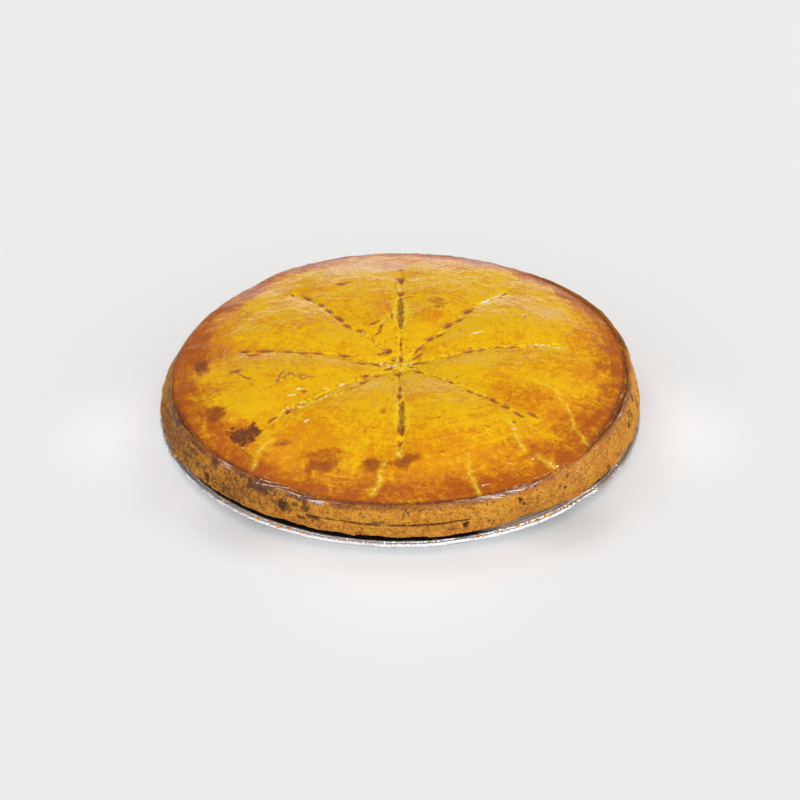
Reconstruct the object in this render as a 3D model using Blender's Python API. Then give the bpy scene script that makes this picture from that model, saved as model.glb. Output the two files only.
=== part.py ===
"""A whole apple pie with a scored and puffed lid, resting in its own shallow foil tray.

Metres, +Z up. The origin is on the surface that the tray stands on, under the middle of the tray.
Angles run counterclockwise from +X, and the front of the pie is at 270 degrees.
"""

import math

import bmesh
import bpy
from mathutils import Vector, noise

MM = 0.001

# Foil tray
TRAY_RADIUS = 132.0 * MM
TRAY_FLOOR_RADIUS = 119.5 * MM
FOIL_THICKNESS = 0.6 * MM
RIM_BEAD_RADIUS = 1.25 * MM
RIM_BEAD_HEIGHT = 5.6 * MM
RIM_FLANGE_WIDTH = 2.6 * MM
FLANGE_STEP = 0.3 * MM
RIM_KINKS = (
    # direction in degrees, how far the rim is bent in
    (52.0, 0.9 * MM),
    (150.0, 1.0 * MM),
    (262.0, 0.8 * MM),
    (284.0, 1.1 * MM),
    (315.0, 1.4 * MM),
)
RIM_KINK_SPREAD = 3.5
KINK_SAG = 0.35
TRAY_SEGMENTS = 120

# Pie
FIT_GAP = 0.3 * MM
PIE_FOOT_RADIUS = 116.0 * MM
PIE_FOOT_ROUNDING = 3.6 * MM
PIE_WAIST_RADIUS = 124.0 * MM
PIE_WAIST_HEIGHT = 7.2 * MM
WALL_BULGE_RADIUS = 130.8 * MM
WALL_BULGE_HEIGHT = 13.0 * MM
WALL_LOW_EDGE = 9.4 * MM
WALL_CLEARANCE = 0.6 * MM
WALL_RINGS = 8
SHOULDER_RADIUS = 127.6 * MM
SHOULDER_HEIGHT = 27.2 * MM
LIP_RADIUS = 126.3 * MM
LIP_HEIGHT = 28.9 * MM
LID_RADIUS = 124.4 * MM
LID_EDGE_HEIGHT = 28.0 * MM
DOME_RISE = 13.5 * MM
DOME_POWER = 2.5
CENTRE_DIP = 5.0 * MM
CENTRE_DIP_RADIUS = 32.0 * MM

# The baked edge is not a true circle: how far it moves out and up, and how far the wall's lower
# half moves out, every 15 degrees from +X
EDGE_PUSH = tuple(
    push * MM
    for push in (
        (-1.2, 0.8, 2.2, 1.9, 1.0, 1.5, 1.2, 1.2, 0.6, -3.0, -3.7, -4.1)
        + (-2.8, -0.6, 1.5, 0.2, -1.0, -0.4, 0.3, 0.6, 0.8, -0.1, -1.0, -1.5)
    )
)
EDGE_LIFT = tuple(
    lift * MM
    for lift in (
        (0.6, 1.1, 1.7, 1.8, 1.6, 1.5, 1.5, 1.3, 0.9, 0.2, 0.0, -0.2)
        + (-0.4, -0.2, 0.0, -0.1, -0.3, 0.0, 0.2, 0.0, -0.3, -0.1, 0.0, 0.2)
    )
)
LOW_PUSH = tuple(
    push * MM
    for push in (
        (0.5, 0.1, 0.0, 0.0, 0.0, 0.0, 0.0, 0.0, 0.0, 0.0, 0.0, 0.1)
        + (0.3, 0.5, 0.5, 0.2, -1.0, -1.3, -1.2, -0.6, -3.6, -0.5, 0.2, 0.6)
    )
)
LOW_PUSH_FULL = 11.0 * MM
LOW_PUSH_END = 22.0 * MM
WAIST_SHARE_OF_PUSH = 0.1
LIFT_FROM_REACH = 0.3
CALM_EDGE_FROM_REACH = 0.9

# Eight scored slits meet in front of the middle of the lid
SLIT_CENTRE = Vector((0.0, -10.2 * MM))
SLITS = (
    # direction in degrees, length
    (14.0, 94.0 * MM),
    (53.0, 107.0 * MM),
    (90.0, 106.0 * MM),
    (127.0, 102.0 * MM),
    (170.0, 91.0 * MM),
    (219.0, 84.0 * MM),
    (270.0, 82.0 * MM),
    (321.0, 84.0 * MM),
)
SLIT_START = 4.0 * MM
SLIT_HALF_WIDTH = 1.7 * MM
SLIT_DEPTH = 1.5 * MM
SLIT_LIP_RISE = 0.5 * MM
SLIT_LIP_OFFSET = 3.6 * MM
DASH_SPACING = 9.0 * MM
DASH_DEPTH = 1.3 * MM
DASH_FADE = 9.0 * MM
WEDGE_PUFF = 1.5 * MM
WEDGE_PUFF_FROM = 3.0 * MM
WEDGE_PUFF_TO = 22.0 * MM
WEDGE_PUFF_FULL_WITHIN = 0.56 * LID_RADIUS
WEDGE_PUFF_GONE_BEYOND = 0.9 * LID_RADIUS

# Unevenness of the baked surfaces: the size of its swells and their height
LID_SWELLS = ((42.0 * MM, 1.1 * MM), (15.0 * MM, 0.35 * MM))
WALL_CRUMBLE = ((14.0 * MM, 0.5 * MM), (6.0 * MM, 0.35 * MM))
SWELL_OFFSET = Vector((0.0, 0.0, 3.1))

# The seam in the front of the wall, where the lid's edge was folded down, and the hole at its end
SEAM_HEIGHT = 18.2 * MM
SEAM_FROM = 248.0
SEAM_TO = 285.0
SEAM_DEPTH = 0.9 * MM
SEAM_HALF_HEIGHT = 1.0 * MM
SEAM_WANDER = 0.8 * MM
WALL_PITS = (
    # direction in degrees, height, half size, depth
    (285.5, 15.2 * MM, 2.2 * MM, 2.4 * MM),
    (221.0, 13.1 * MM, 2.4 * MM, 2.0 * MM),
    (243.0, 21.0 * MM, 3.0 * MM, 0.9 * MM),
    (304.0, 22.0 * MM, 2.0 * MM, 1.2 * MM),
    (20.0, 17.0 * MM, 2.6 * MM, 1.6 * MM),
    (82.0, 19.0 * MM, 2.4 * MM, 1.6 * MM),
    (140.0, 16.0 * MM, 2.8 * MM, 1.8 * MM),
)

# How finely the pie is divided
COLUMNS_PER_SECTOR = 14
LID_RINGS = 21
RING_CROWDING = 1.18
SLIT_COLUMN_OFFSETS = (1.5 * MM, 3.6 * MM)


def clear_scene():
    """Start from an empty scene."""
    for obj in list(bpy.data.objects):
        bpy.data.objects.remove(obj, do_unlink=True)


def baked_material(name, colour, roughness, metallic=0.0):
    """A Principled material with one colour."""
    material = bpy.data.materials.new(name)
    material.use_nodes = True
    shader = material.node_tree.nodes["Principled BSDF"]
    shader.inputs["Base Color"].default_value = (*colour, 1.0)
    shader.inputs["Roughness"].default_value = roughness
    shader.inputs["Metallic"].default_value = metallic
    material.diffuse_color = (*colour, 1.0)
    return material


def add_object(name, bm, material):
    """Put a bmesh in the scene as one smooth-shaded object."""
    bmesh.ops.recalc_face_normals(bm, faces=bm.faces)
    mesh = bpy.data.meshes.new(name)
    bm.to_mesh(mesh)
    bm.free()
    mesh.materials.append(material)
    mesh.shade_smooth()
    obj = bpy.data.objects.new(name, mesh)
    bpy.context.scene.collection.objects.link(obj)
    return obj


def turned_solid(profile, steps):
    """Spin an open (radius, height) profile that starts and ends on the axis into a closed solid."""
    bm = bmesh.new()
    verts = [bm.verts.new((radius, 0.0, height)) for radius, height in profile]
    edges = [bm.edges.new(pair) for pair in zip(verts, verts[1:])]
    bmesh.ops.spin(
        bm,
        geom=verts + edges,
        cent=(0.0, 0.0, 0.0),
        axis=(0.0, 0.0, 1.0),
        dvec=(0.0, 0.0, 0.0),
        angle=math.tau,
        steps=steps,
        use_merge=True,
        use_duplicate=False,
    )
    bmesh.ops.remove_doubles(bm, verts=bm.verts, dist=0.01 * MM)
    return bm


def arc(centre, radius, start, end, count):
    """Points on an arc in the profile plane, angles in degrees."""
    points = []
    for i in range(count):
        angle = math.radians(start + (end - start) * i / (count - 1))
        points.append((centre[0] + radius * math.cos(angle), centre[1] + radius * math.sin(angle)))
    return points


def smooth_step(low, high, value):
    """0 below low, 1 above high, smooth between."""
    t = min(1.0, max(0.0, (value - low) / (high - low)))
    return t * t * (3.0 - 2.0 * t)


def bell(distance, half_width):
    """1 at the middle of a dent or a ridge, falling smoothly to 0."""
    return math.exp(-((distance / half_width) ** 2))


def angle_between(a, b):
    """Signed difference of two directions in degrees, from -180 to 180."""
    return (a - b + 180.0) % 360.0 - 180.0


def round_the_edge(values, degrees):
    """A value given at even steps round the pie, read smoothly at any direction."""
    position = (degrees % 360.0) / 360.0 * len(values)
    index = int(position)
    blend = 0.5 - 0.5 * math.cos(math.pi * (position - index))
    return values[index % len(values)] * (1.0 - blend) + values[(index + 1) % len(values)] * blend


def column_direction(column, distance):
    """Direction of a column of the lid at a distance from the slits' centre.

    The columns on both sides of a slit run parallel to it, so that its groove stays sharp.
    """
    sector, place = divmod(column, COLUMNS_PER_SECTOR)
    start = SLITS[sector % len(SLITS)][0]
    end = SLITS[(sector + 1) % len(SLITS)][0]
    width = (end - start) % 360.0
    half = COLUMNS_PER_SECTOR / 2.0
    from_start = place <= half
    steps = place if from_start else COLUMNS_PER_SECTOR - place
    knots = [0.0]
    for i, offset in enumerate(SLIT_COLUMN_OFFSETS):
        even = (i + 1) / half * width / 2.0
        parallel = math.degrees(offset / max(distance, 0.1 * MM))
        knots.append(min(even, parallel))
    last = len(knots) - 1
    if steps <= last:
        turn = knots[int(steps)]
    else:
        turn = knots[last] + (width / 2.0 - knots[last]) * (steps - last) / (half - last)
    return start + turn if from_start else start + width - turn


def lid_edge_point(degrees):
    """Where a line from the slits' centre meets the lid's edge."""
    direction = Vector((math.cos(math.radians(degrees)), math.sin(math.radians(degrees))))
    radius = LID_RADIUS + round_the_edge(EDGE_PUSH, degrees)
    along = SLIT_CENTRE.dot(direction)
    reach = math.sqrt(along**2 - SLIT_CENTRE.length_squared + radius**2) - along
    return SLIT_CENTRE + direction * reach


def unevenness(swells, x, y, z):
    """Gentle swells of several sizes."""
    spot = Vector((x, y, z))
    return sum(height * noise.noise(spot / size + SWELL_OFFSET) for size, height in swells)


def slit_relief(x, y):
    """Groove, pinched lips and deeper dashes of the slits, and the puffed wedges between them."""
    spot = Vector((x, y)) - SLIT_CENTRE
    distance = spot.length
    relief = 0.0
    nearest = math.inf
    for index, (degrees, length) in enumerate(SLITS):
        direction = Vector((math.cos(math.radians(degrees)), math.sin(math.radians(degrees))))
        along = spot.dot(direction)
        if along <= 0.0:
            continue
        side = abs(spot.x * direction.y - spot.y * direction.x)
        nearest = min(nearest, side)
        run = smooth_step(0.0, SLIT_START, along)
        run *= 1.0 - smooth_step(length - DASH_FADE, length, along)
        dash = 0.5 + 0.5 * math.cos(math.tau * along / DASH_SPACING + index)
        relief -= run * bell(side, SLIT_HALF_WIDTH) * (SLIT_DEPTH + DASH_DEPTH * dash)
        relief += run * bell(side - SLIT_LIP_OFFSET, SLIT_HALF_WIDTH) * SLIT_LIP_RISE
    puff = smooth_step(WEDGE_PUFF_FROM, WEDGE_PUFF_TO, min(nearest, distance))
    puff *= 1.0 - smooth_step(WEDGE_PUFF_FULL_WITHIN, WEDGE_PUFF_GONE_BEYOND, math.hypot(x, y))
    return relief + WEDGE_PUFF * puff


def lid_height(x, y, reach):
    """Height of the lid's top; reach runs from 0 at the slits' centre to 1 at the lid's edge."""
    degrees = math.degrees(math.atan2(y, x))
    lift = round_the_edge(EDGE_LIFT, degrees) * smooth_step(LIFT_FROM_REACH, 1.0, reach)
    height = LID_EDGE_HEIGHT + lift
    height += DOME_RISE * (1.0 - min(1.0, reach) ** DOME_POWER)
    height -= CENTRE_DIP * bell((Vector((x, y)) - SLIT_CENTRE).length, CENTRE_DIP_RADIUS)
    inside = 1.0 - smooth_step(CALM_EDGE_FROM_REACH, 1.0, reach)
    height += inside * slit_relief(x, y)
    return height + inside * unevenness(LID_SWELLS, x, y, 0.0)


def wall_relief(degrees, height):
    """How far the wall's crumbly face stands out or in."""
    x = math.cos(math.radians(degrees)) * WALL_BULGE_RADIUS
    y = math.sin(math.radians(degrees)) * WALL_BULGE_RADIUS
    relief = unevenness(WALL_CRUMBLE, x, y, height)
    in_seam = smooth_step(SEAM_FROM, SEAM_FROM + 3.0, degrees)
    in_seam *= 1.0 - smooth_step(SEAM_TO - 1.0, SEAM_TO, degrees)
    wander = SEAM_WANDER * math.sin(math.radians(degrees * 18.0))
    relief -= in_seam * SEAM_DEPTH * bell(height - SEAM_HEIGHT - wander, SEAM_HALF_HEIGHT)
    for place, pit_height, half_size, depth in WALL_PITS:
        across = math.radians(angle_between(degrees, place)) * WALL_BULGE_RADIUS
        relief -= depth * bell(math.hypot(across, height - pit_height), half_size)
    return relief


def pie_profile():
    """The pie's half section, from the top of the axis out over the lip and down to the foot."""
    profile = []
    for i in range(LID_RINGS + 1):
        reach = 1.0 - (1.0 - i / LID_RINGS) ** RING_CROWDING
        profile.append((LID_RADIUS * reach, LID_EDGE_HEIGHT))
    profile.append((0.5 * (LID_RADIUS + LIP_RADIUS), 0.5 * (LID_EDGE_HEIGHT + LIP_HEIGHT)))
    profile.append((LIP_RADIUS, LIP_HEIGHT))
    for i in range(WALL_RINGS + 1):
        t = i / WALL_RINGS
        height = SHOULDER_HEIGHT + (WALL_BULGE_HEIGHT - SHOULDER_HEIGHT) * t
        radius = SHOULDER_RADIUS + (WALL_BULGE_RADIUS - SHOULDER_RADIUS) * math.sin(t * math.pi / 2.0)
        profile.append((radius, height))
    foot_height = FOIL_THICKNESS + FIT_GAP
    profile += [
        (WALL_BULGE_RADIUS - 0.3 * MM, WALL_LOW_EDGE + 1.0 * MM),
        (WALL_BULGE_RADIUS - 2.2 * MM, WALL_LOW_EDGE - 0.2 * MM),
        (PIE_WAIST_RADIUS + 1.0 * MM, PIE_WAIST_HEIGHT + 0.8 * MM),
        (PIE_WAIST_RADIUS, PIE_WAIST_HEIGHT - 0.8 * MM),
        (PIE_FOOT_RADIUS + PIE_FOOT_ROUNDING, foot_height + 0.5 * PIE_FOOT_ROUNDING),
        (PIE_FOOT_RADIUS, foot_height),
        (0.5 * PIE_FOOT_RADIUS, foot_height),
        (0.0, foot_height),
    ]
    return profile


def shape_pie_vertex(co, column):
    """Move a vertex of the turned pie to its baked place."""
    radius = math.hypot(co.x, co.y)
    if co.z >= LID_EDGE_HEIGHT - 0.01 * MM and radius <= LID_RADIUS + 0.01 * MM:
        reach = radius / LID_RADIUS
        turn = column_direction(column, reach * LID_RADIUS)
        spot = SLIT_CENTRE.lerp(lid_edge_point(turn), reach)
        return Vector((spot.x, spot.y, lid_height(spot.x, spot.y, reach)))
    edge = lid_edge_point(column_direction(column, LID_RADIUS))
    degrees = math.degrees(math.atan2(edge.y, edge.x)) % 360.0
    direction = edge.normalized()
    if co.z < PIE_WAIST_HEIGHT + 0.5 * MM:
        return Vector((direction.x * radius, direction.y * radius, co.z))
    high = smooth_step(WALL_BULGE_HEIGHT, SHOULDER_HEIGHT, co.z)
    height = co.z + high * round_the_edge(EDGE_LIFT, degrees)
    share = WAIST_SHARE_OF_PUSH + (1.0 - WAIST_SHARE_OF_PUSH) * high
    radius += round_the_edge(EDGE_PUSH, degrees) * share
    low = smooth_step(PIE_WAIST_HEIGHT + 0.8 * MM, WALL_LOW_EDGE + 1.0 * MM, co.z)
    low *= 1.0 - smooth_step(LOW_PUSH_FULL, LOW_PUSH_END, co.z)
    radius += low * round_the_edge(LOW_PUSH, degrees)
    crumbly = smooth_step(WALL_LOW_EDGE, WALL_LOW_EDGE + 1.5 * MM, co.z)
    crumbly *= 1.0 - 0.7 * smooth_step(SHOULDER_HEIGHT - 1.0 * MM, LIP_HEIGHT, co.z)
    radius += crumbly * wall_relief(degrees, co.z)
    radius = min(radius, TRAY_RADIUS - WALL_CLEARANCE)
    return Vector((direction.x * radius, direction.y * radius, height))


def make_pie():
    """The pie, one solid from its foot in the tray to the top of the lid."""
    columns = COLUMNS_PER_SECTOR * len(SLITS)
    bm = turned_solid(pie_profile(), columns)
    step = math.tau / columns
    for vert in bm.verts:
        column = round((math.atan2(vert.co.y, vert.co.x) % math.tau) / step) % columns
        vert.co = shape_pie_vertex(vert.co, column)
    crust = baked_material("golden_crust", (0.74, 0.38, 0.03), 0.38)
    return add_object("pie", bm, crust)


def tray_profile():
    """The tray's section: floor, flared wall, flat flange and rolled bead."""
    bead_centre = (TRAY_RADIUS - RIM_BEAD_RADIUS, RIM_BEAD_HEIGHT)
    flange_top = RIM_BEAD_HEIGHT + FLANGE_STEP
    flange_inner = TRAY_RADIUS - 2.0 * RIM_BEAD_RADIUS - RIM_FLANGE_WIDTH
    return [
        (0.0, 0.0),
        (TRAY_FLOOR_RADIUS, 0.0),
        (TRAY_FLOOR_RADIUS + 1.6 * MM, 0.5 * MM),
        (flange_inner + 1.0 * MM, flange_top - FOIL_THICKNESS - FLANGE_STEP),
        *arc(bead_centre, RIM_BEAD_RADIUS, -135.0, 135.0, 7),
        (flange_inner + 1.1 * MM, flange_top),
        (flange_inner, flange_top - FLANGE_STEP),
        (TRAY_FLOOR_RADIUS + 0.9 * MM, FOIL_THICKNESS + 0.5 * MM),
        (TRAY_FLOOR_RADIUS - 0.5 * MM, FOIL_THICKNESS),
        (0.0, FOIL_THICKNESS),
    ]


def make_foil_tray():
    """The shallow tray with its rolled rim, bent in a little at a few kinks."""
    bm = turned_solid(tray_profile(), TRAY_SEGMENTS)
    bent_from = TRAY_FLOOR_RADIUS + 4.0 * MM
    bent_fully = TRAY_RADIUS - 2.0 * RIM_BEAD_RADIUS
    for vert in bm.verts:
        radius = math.hypot(vert.co.x, vert.co.y)
        if radius < bent_from:
            continue
        degrees = math.degrees(math.atan2(vert.co.y, vert.co.x))
        dent = sum(depth * bell(angle_between(degrees, place), RIM_KINK_SPREAD) for place, depth in RIM_KINKS)
        dent *= smooth_step(bent_from, bent_fully, radius)
        scale = (radius - dent) / radius
        vert.co = Vector((vert.co.x * scale, vert.co.y * scale, vert.co.z - KINK_SAG * dent))
    foil = baked_material("aluminium_foil", (0.80, 0.81, 0.83), 0.3, 1.0)
    return add_object("foil_tray", bm, foil)


def main():
    """Build the pie and its tray."""
    clear_scene()
    make_foil_tray()
    make_pie()


main()
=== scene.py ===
"""The looks of a whole apple pie with a scored, glazed lid in its own shallow foil tray.

Metres, +Z up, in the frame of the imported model. Angles run counterclockwise from +X, and the
front of the pie is at 270 degrees. The file is laid out as an add-on and is run as a script.
"""

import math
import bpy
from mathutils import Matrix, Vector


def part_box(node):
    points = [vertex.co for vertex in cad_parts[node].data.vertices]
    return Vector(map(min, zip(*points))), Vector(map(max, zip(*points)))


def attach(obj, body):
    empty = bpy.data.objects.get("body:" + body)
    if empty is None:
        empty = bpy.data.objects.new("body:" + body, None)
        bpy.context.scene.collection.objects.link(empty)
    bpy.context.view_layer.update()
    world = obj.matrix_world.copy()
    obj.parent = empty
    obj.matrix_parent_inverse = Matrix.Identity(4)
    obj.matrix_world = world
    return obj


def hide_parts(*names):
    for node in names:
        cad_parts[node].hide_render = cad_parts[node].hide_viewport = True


bl_info = {
    "name": "Apple Pie in a Foil Tray",
    "version": (1, 0, 0),
    "blender": (4, 5, 0),
    "location": "3D View > Sidebar > Apple Pie",
    "description": "Makes the glazed lid, crumbly wall, foil tray, crumbs and stage",
    "category": "Object",
}

from collections import namedtuple

import bmesh
import bpy
import numpy as np
from bpy.props import FloatProperty, FloatVectorProperty, IntProperty, PointerProperty
from mathutils import Vector, noise

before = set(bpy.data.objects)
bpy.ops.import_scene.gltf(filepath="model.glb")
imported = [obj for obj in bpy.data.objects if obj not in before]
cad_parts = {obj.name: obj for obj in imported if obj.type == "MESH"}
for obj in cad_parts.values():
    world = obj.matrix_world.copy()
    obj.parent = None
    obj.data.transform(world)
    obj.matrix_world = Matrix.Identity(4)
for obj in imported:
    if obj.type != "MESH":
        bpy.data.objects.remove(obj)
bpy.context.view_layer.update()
TRAY_LOW, TRAY_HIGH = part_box("foil_tray")

MM = 0.001

# The baked edge is not a true circle. All round it, every 15 degrees from +X: how far it moves out,
# how far it moves up, how far the lip and the last of the lid sag, and how far the wall's lower
# half moves out
EDGE_PUSH = MM * np.array((
    -1.2, 0.8, 2.2, 1.9, 1, 1.5, 1.2, 1.2, 0.6, -3, -3.7, -4.1, -2.8, -0.6, 1.5, 0.4, -0.2, 0.8,
    1.2, 1.4, 1.5, 0.4, -1, -1.5,
))
EDGE_LIFT = MM * np.array((
    0.6, 1.1, 1.7, 1.8, 1.6, 1.5, 1.5, 1.3, 0.9, 0.2, 0, -0.2, -0.4, -0.2, 0, -0.1, -0.3, 0, 0.2, 0,
    -0.3, -0.1, 0, 0.2,
))
EDGE_DROP = MM * np.array((0,) * 15 + (1.5, 2.6, 3.2, 2.1, 1.7, 1.2, 0.8, 0, 0))
LOW_PUSH = MM * np.array((
    0.5, 0.1, 0, 0, 0, 0, 0, 0, 0, 0, 0, 0.1, 0.3, 0.5, 0.5, 0.2, -1, -1.3, -1.2, -0.4, -2.4, -0.3,
    0.2, 0.6,
))
# How far the dark line inside the rim is open in the same directions: 0 closed, 1 open
GROOVE_OPEN = np.array((
    1, 0.9, 0.8, 0.5, 0, 0, 0, 0, 0, 0, 0, 0.1, 0.2, 0.3, 0.9, 1, 0.95, 0.6, 0.75, 0.8, 0.4, 0, 1,
    1,
))
# How far from the edge the browning reaches in, every 30 degrees from +X
TOAST_REACH = MM * np.array((38, 18, 18, 14, 18, 28, 46, 40, 34, 36, 40, 44))

Slit = namedtuple("Slit", "direction length line dashes")
SLIT_CENTRE = MM * np.array((0, -10.2))
# Direction in degrees, then millimetres from the slits' centre: the length, the stretch where the
# thin cut shows, and the knife's dashes (how far out, how far aside, half length, half width)
SLITS = (
    Slit(14, 94, (6, 50), (
        (8.5, -0.5, 3.6, 0.8), (26, -3.5, 0.9, 1), (38.5, 0, 2.6, 1.3), (45.5, 0, 2, 0.9),
        (55, 0.5, 2.4, 0.9), (62.5, -0.5, 3.1, 1),
    )),
    Slit(53, 107, (9, 30), (
        (18, 0.5, 3.6, 1.1), (28.5, 0.5, 2.6, 1.6), (34, -1.5, 1.8, 1.4), (45.5, 1, 3.2, 1.8),
        (54, -1, 2.8, 1.3), (65, 1.5, 4, 1.9), (99, -0.5, 2.2, 0.9),
    )),
    Slit(90, 106, (10, 33), (
        (7, -0.5, 3.2, 0.8), (19.5, -0.5, 5, 0.5), (74, -0.5, 2.8, 2), (92.5, -0.5, 4.2, 2.3),
        (106.5, 0, 1.2, 2.2),
    )),
    Slit(127, 105, (20, 42), (
        (15, -2, 2.2, 1.4), (38.5, -1, 1.5, 1), (47, 1.5, 3.1, 1.4), (57, 0, 3.4, 1.6),
        (67.5, -0.5, 3, 1.4), (76.5, -2, 2.7, 1.3), (90, -1.5, 4.6, 1.3), (99.5, 2, 2, 0.8),
    )),
    Slit(170, 92, (11, 88), (
        (13, 2, 2.6, 1.2), (45.5, 0.5, 3.2, 1.1), (53.5, 1, 2.9, 1.2), (62, 0, 2.9, 1.4),
        (74.5, -1, 4.8, 1.4), (80.5, 4.5, 3.8, 1.3), (86.5, -0.5, 3, 1.5),
    )),
    Slit(219, 84, (9, 30), (
        (17, 2, 2.4, 0.9), (23, -1.5, 2.4, 0.9), (28.5, 4, 3.4, 1.2), (75, 0.5, 2.7, 1.1),
        (84.5, 0, 2.7, 1),
    )),
    Slit(270, 84, (6, 42), (
        (8.5, -1, 2.8, 1.8), (26.5, 0, 3.4, 0.8), (35.5, -0.5, 2.7, 1.1), (65.5, 0.5, 3, 1.9),
        (76, 0, 1.6, 1.3),
    )),
    Slit(321, 83.5, (4, 77), (
        (12, 0, 3.4, 0.7), (34.5, -0.5, 1.4, 1), (47.5, -1.5, 1.6, 1), (53.5, -0.5, 1.6, 1),
        (61.5, 0.5, 3, 1.4), (69.5, 0.5, 2, 1.8), (78, 0.5, 2.8, 1.2), (83.5, 5.5, 3.4, 1.1),
    )),
)
# Where a slit gapes: its number in the list above, from, to, aside and half width in millimetres
GAPES = ((2, 33, 70, -0.2, 2.3), (6, 40, 70, 0.9, 2))

# Pale cracks where the lid stretched: half width and course from inside outwards, in millimetres
# from the pie's middle
CRACKS = (
    (0.7, ((-1, -86), (0.5, -89), (-0.5, -97.5))),
    (0.5, ((-7, -99.5), (-9.5, -106), (-10.5, -113.5), (-15, -120.5))),
    (0.4, ((34.5, -92), (34.5, -98.5), (34, -105), (37, -110.5), (39, -119))),
    (0.5, ((55.5, -65), (58, -69.5), (59, -77.5), (61.5, -85), (64, -90.5))),
    (0.6, ((68.5, -89), (74.5, -94), (78.5, -100), (80, -103.5))),
    (0.35, ((66.5, -29), (75, -31.5), (82, -37), (87, -46.5), (89.5, -56), (89.5, -67))),
    (0.4, ((89.5, -65.5), (93, -70.5), (96, -77))),
    (0.5, ((-61.5, -58), (-63.5, -62.5), (-65, -66.5))),
    (0.5, ((-62, -77.5), (-69.5, -81.5), (-72.5, -87), (-74, -96.5))),
    (0.8, ((41.5, 45.5), (49.5, 56.5), (54.5, 63), (60, 71.5))),
    (0.8, ((68.5, 6.5), (75.5, 8), (80.5, 7), (85, 7), (90, 9))),
)
# The torn, crumbly stretch at the left, as above
TORN = ((3, ((-14, -27), (-25, -37.5), (-38, -45.5), (-53.5, -55), (-61.5, -59.5))),)
# Burst blisters: brown outlines, in millimetres from the pie's middle, of which the first two close
SCARS = (
    ((-65.5, -32), (-64, -25), (-62, -21), (-57.5, -25), (-55, -28), (-60, -30), (-65.5, -32)),
    (
        (-55, -28), (-52.5, -27), (-49.5, -26.5), (-47.5, -29.5), (-50.5, -31.5), (-53, -30.5),
        (-52.5, -27),
    ),
    ((-47.5, -29.5), (-44, -28)),
    ((-87, -19.5), (-83, -23.5), (-78.5, -28)),
    ((-58, -6.5), (-52, -6), (-47, -7)),
    ((48, -37), (52.5, -39), (55.5, -39.5)),
)
# Outline of the one large burnt patch, as above
BURN = (
    (-89.5, -68.5), (-86, -66.5), (-80, -68), (-75.5, -65), (-71, -71), (-73, -75.5), (-79, -81.5),
    (-82, -78.5), (-85.5, -75.5),
)

# Oval marks on the lid: place and half sizes in millimetres, turn in degrees. Painted highlights,
# short white glints painted into the colour where the glaze is thick:
PAINTED_GLINTS = (
    (49, 57, 5, 1, 52), (56.5, 65.5, 4, 0.8, 52), (42.5, 16.5, 3.8, 0.6, 30),
    (79, -95.5, 1, 0.6, 40), (81.5, -95, 1.2, 0.5, 40), (79.5, 8.5, 5, 0.6, -4),
    (88, 7, 2.5, 0.5, 0), (42.5, -111.5, 2.6, 0.4, 14), (59, -72.8, 1.6, 0.5, 0),
    (34.5, -93, 0.7, 0.7, 0), (55, -96.5, 0.6, 0.5, 0), (66.5, -92.5, 1, 0.6, 0),
    (75.5, -94, 1.4, 0.6, 30), (-53, -39.5, 1.8, 0.8, 0), (-57, -44.5, 2.2, 0.7, 0),
    (-39, -38.5, 1.5, 0.8, 10), (-31, -34.5, 1.6, 1, 50), (-48, -67.5, 1.5, 0.8, 30),
    (-9.5, 30, 2.4, 0.5, 56), (-79.5, -80.5, 1, 0.7, -30), (-21, 19, 0.8, 0.7, 0),
    (2.5, -7, 1.4, 0.5, 30), (-1, -12.5, 0.8, 0.8, 0),
)
# Loose marks beside the slits:
NICKS = (
    (-15, 27.5, 2.2, 1.2, 20), (-12.5, 29.5, 1.2, 0.9, 0), (-10.5, 24, 3.8, 0.7, 70),
    (-12, 18.5, 2.4, 0.7, 50), (-34, 76, 2.8, 1.9, 0), (-29.5, 78, 3.2, 0.6, 18),
    (-9, 1, 1.5, 1, 60), (-11.5, -1, 1.2, 0.8, -30), (-12.5, -9.5, 4.4, 0.9, -4),
    (-21, -11, 3.4, 0.9, 6), (-30, -4.5, 2.6, 1, 0), (9.5, -3, 3, 0.8, 36),
    (12, -9.5, 4.2, 0.7, -6), (-6, -13, 2.6, 0.9, 40), (6, -12, 2, 0.7, -30), (-3.5, -4, 1.4, 1, 0),
    (-6, 3, 1.4, 1.8, 0), (4.5, 58.5, 3.2, 0.6, 12), (-4.5, 36, 0.6, 2.6, 0), (21, 45, 1.6, 1, 0),
    (70, 36, 0.9, 0.8, 0), (-88, -17, 3.2, 1.8, 10), (-82, -24, 4.4, 0.6, -40),
    (58.5, -67, 0.9, 0.9, 0), (79, -44, 0.9, 0.7, 0), (21, -92.5, 0.9, 0.7, 0),
    (20, -68.5, 0.9, 0.6, 0), (-59, -82, 3.6, 1.1, 0), (-50.5, -41.5, 1.8, 0.8, 0),
    (30, -28, 0.8, 0.6, 0), (101, -71, 2, 1.2, 40), (83.5, -93.5, 1.6, 1, 40),
    (78, -98.5, 1.2, 0.8, 20),
)
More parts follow.
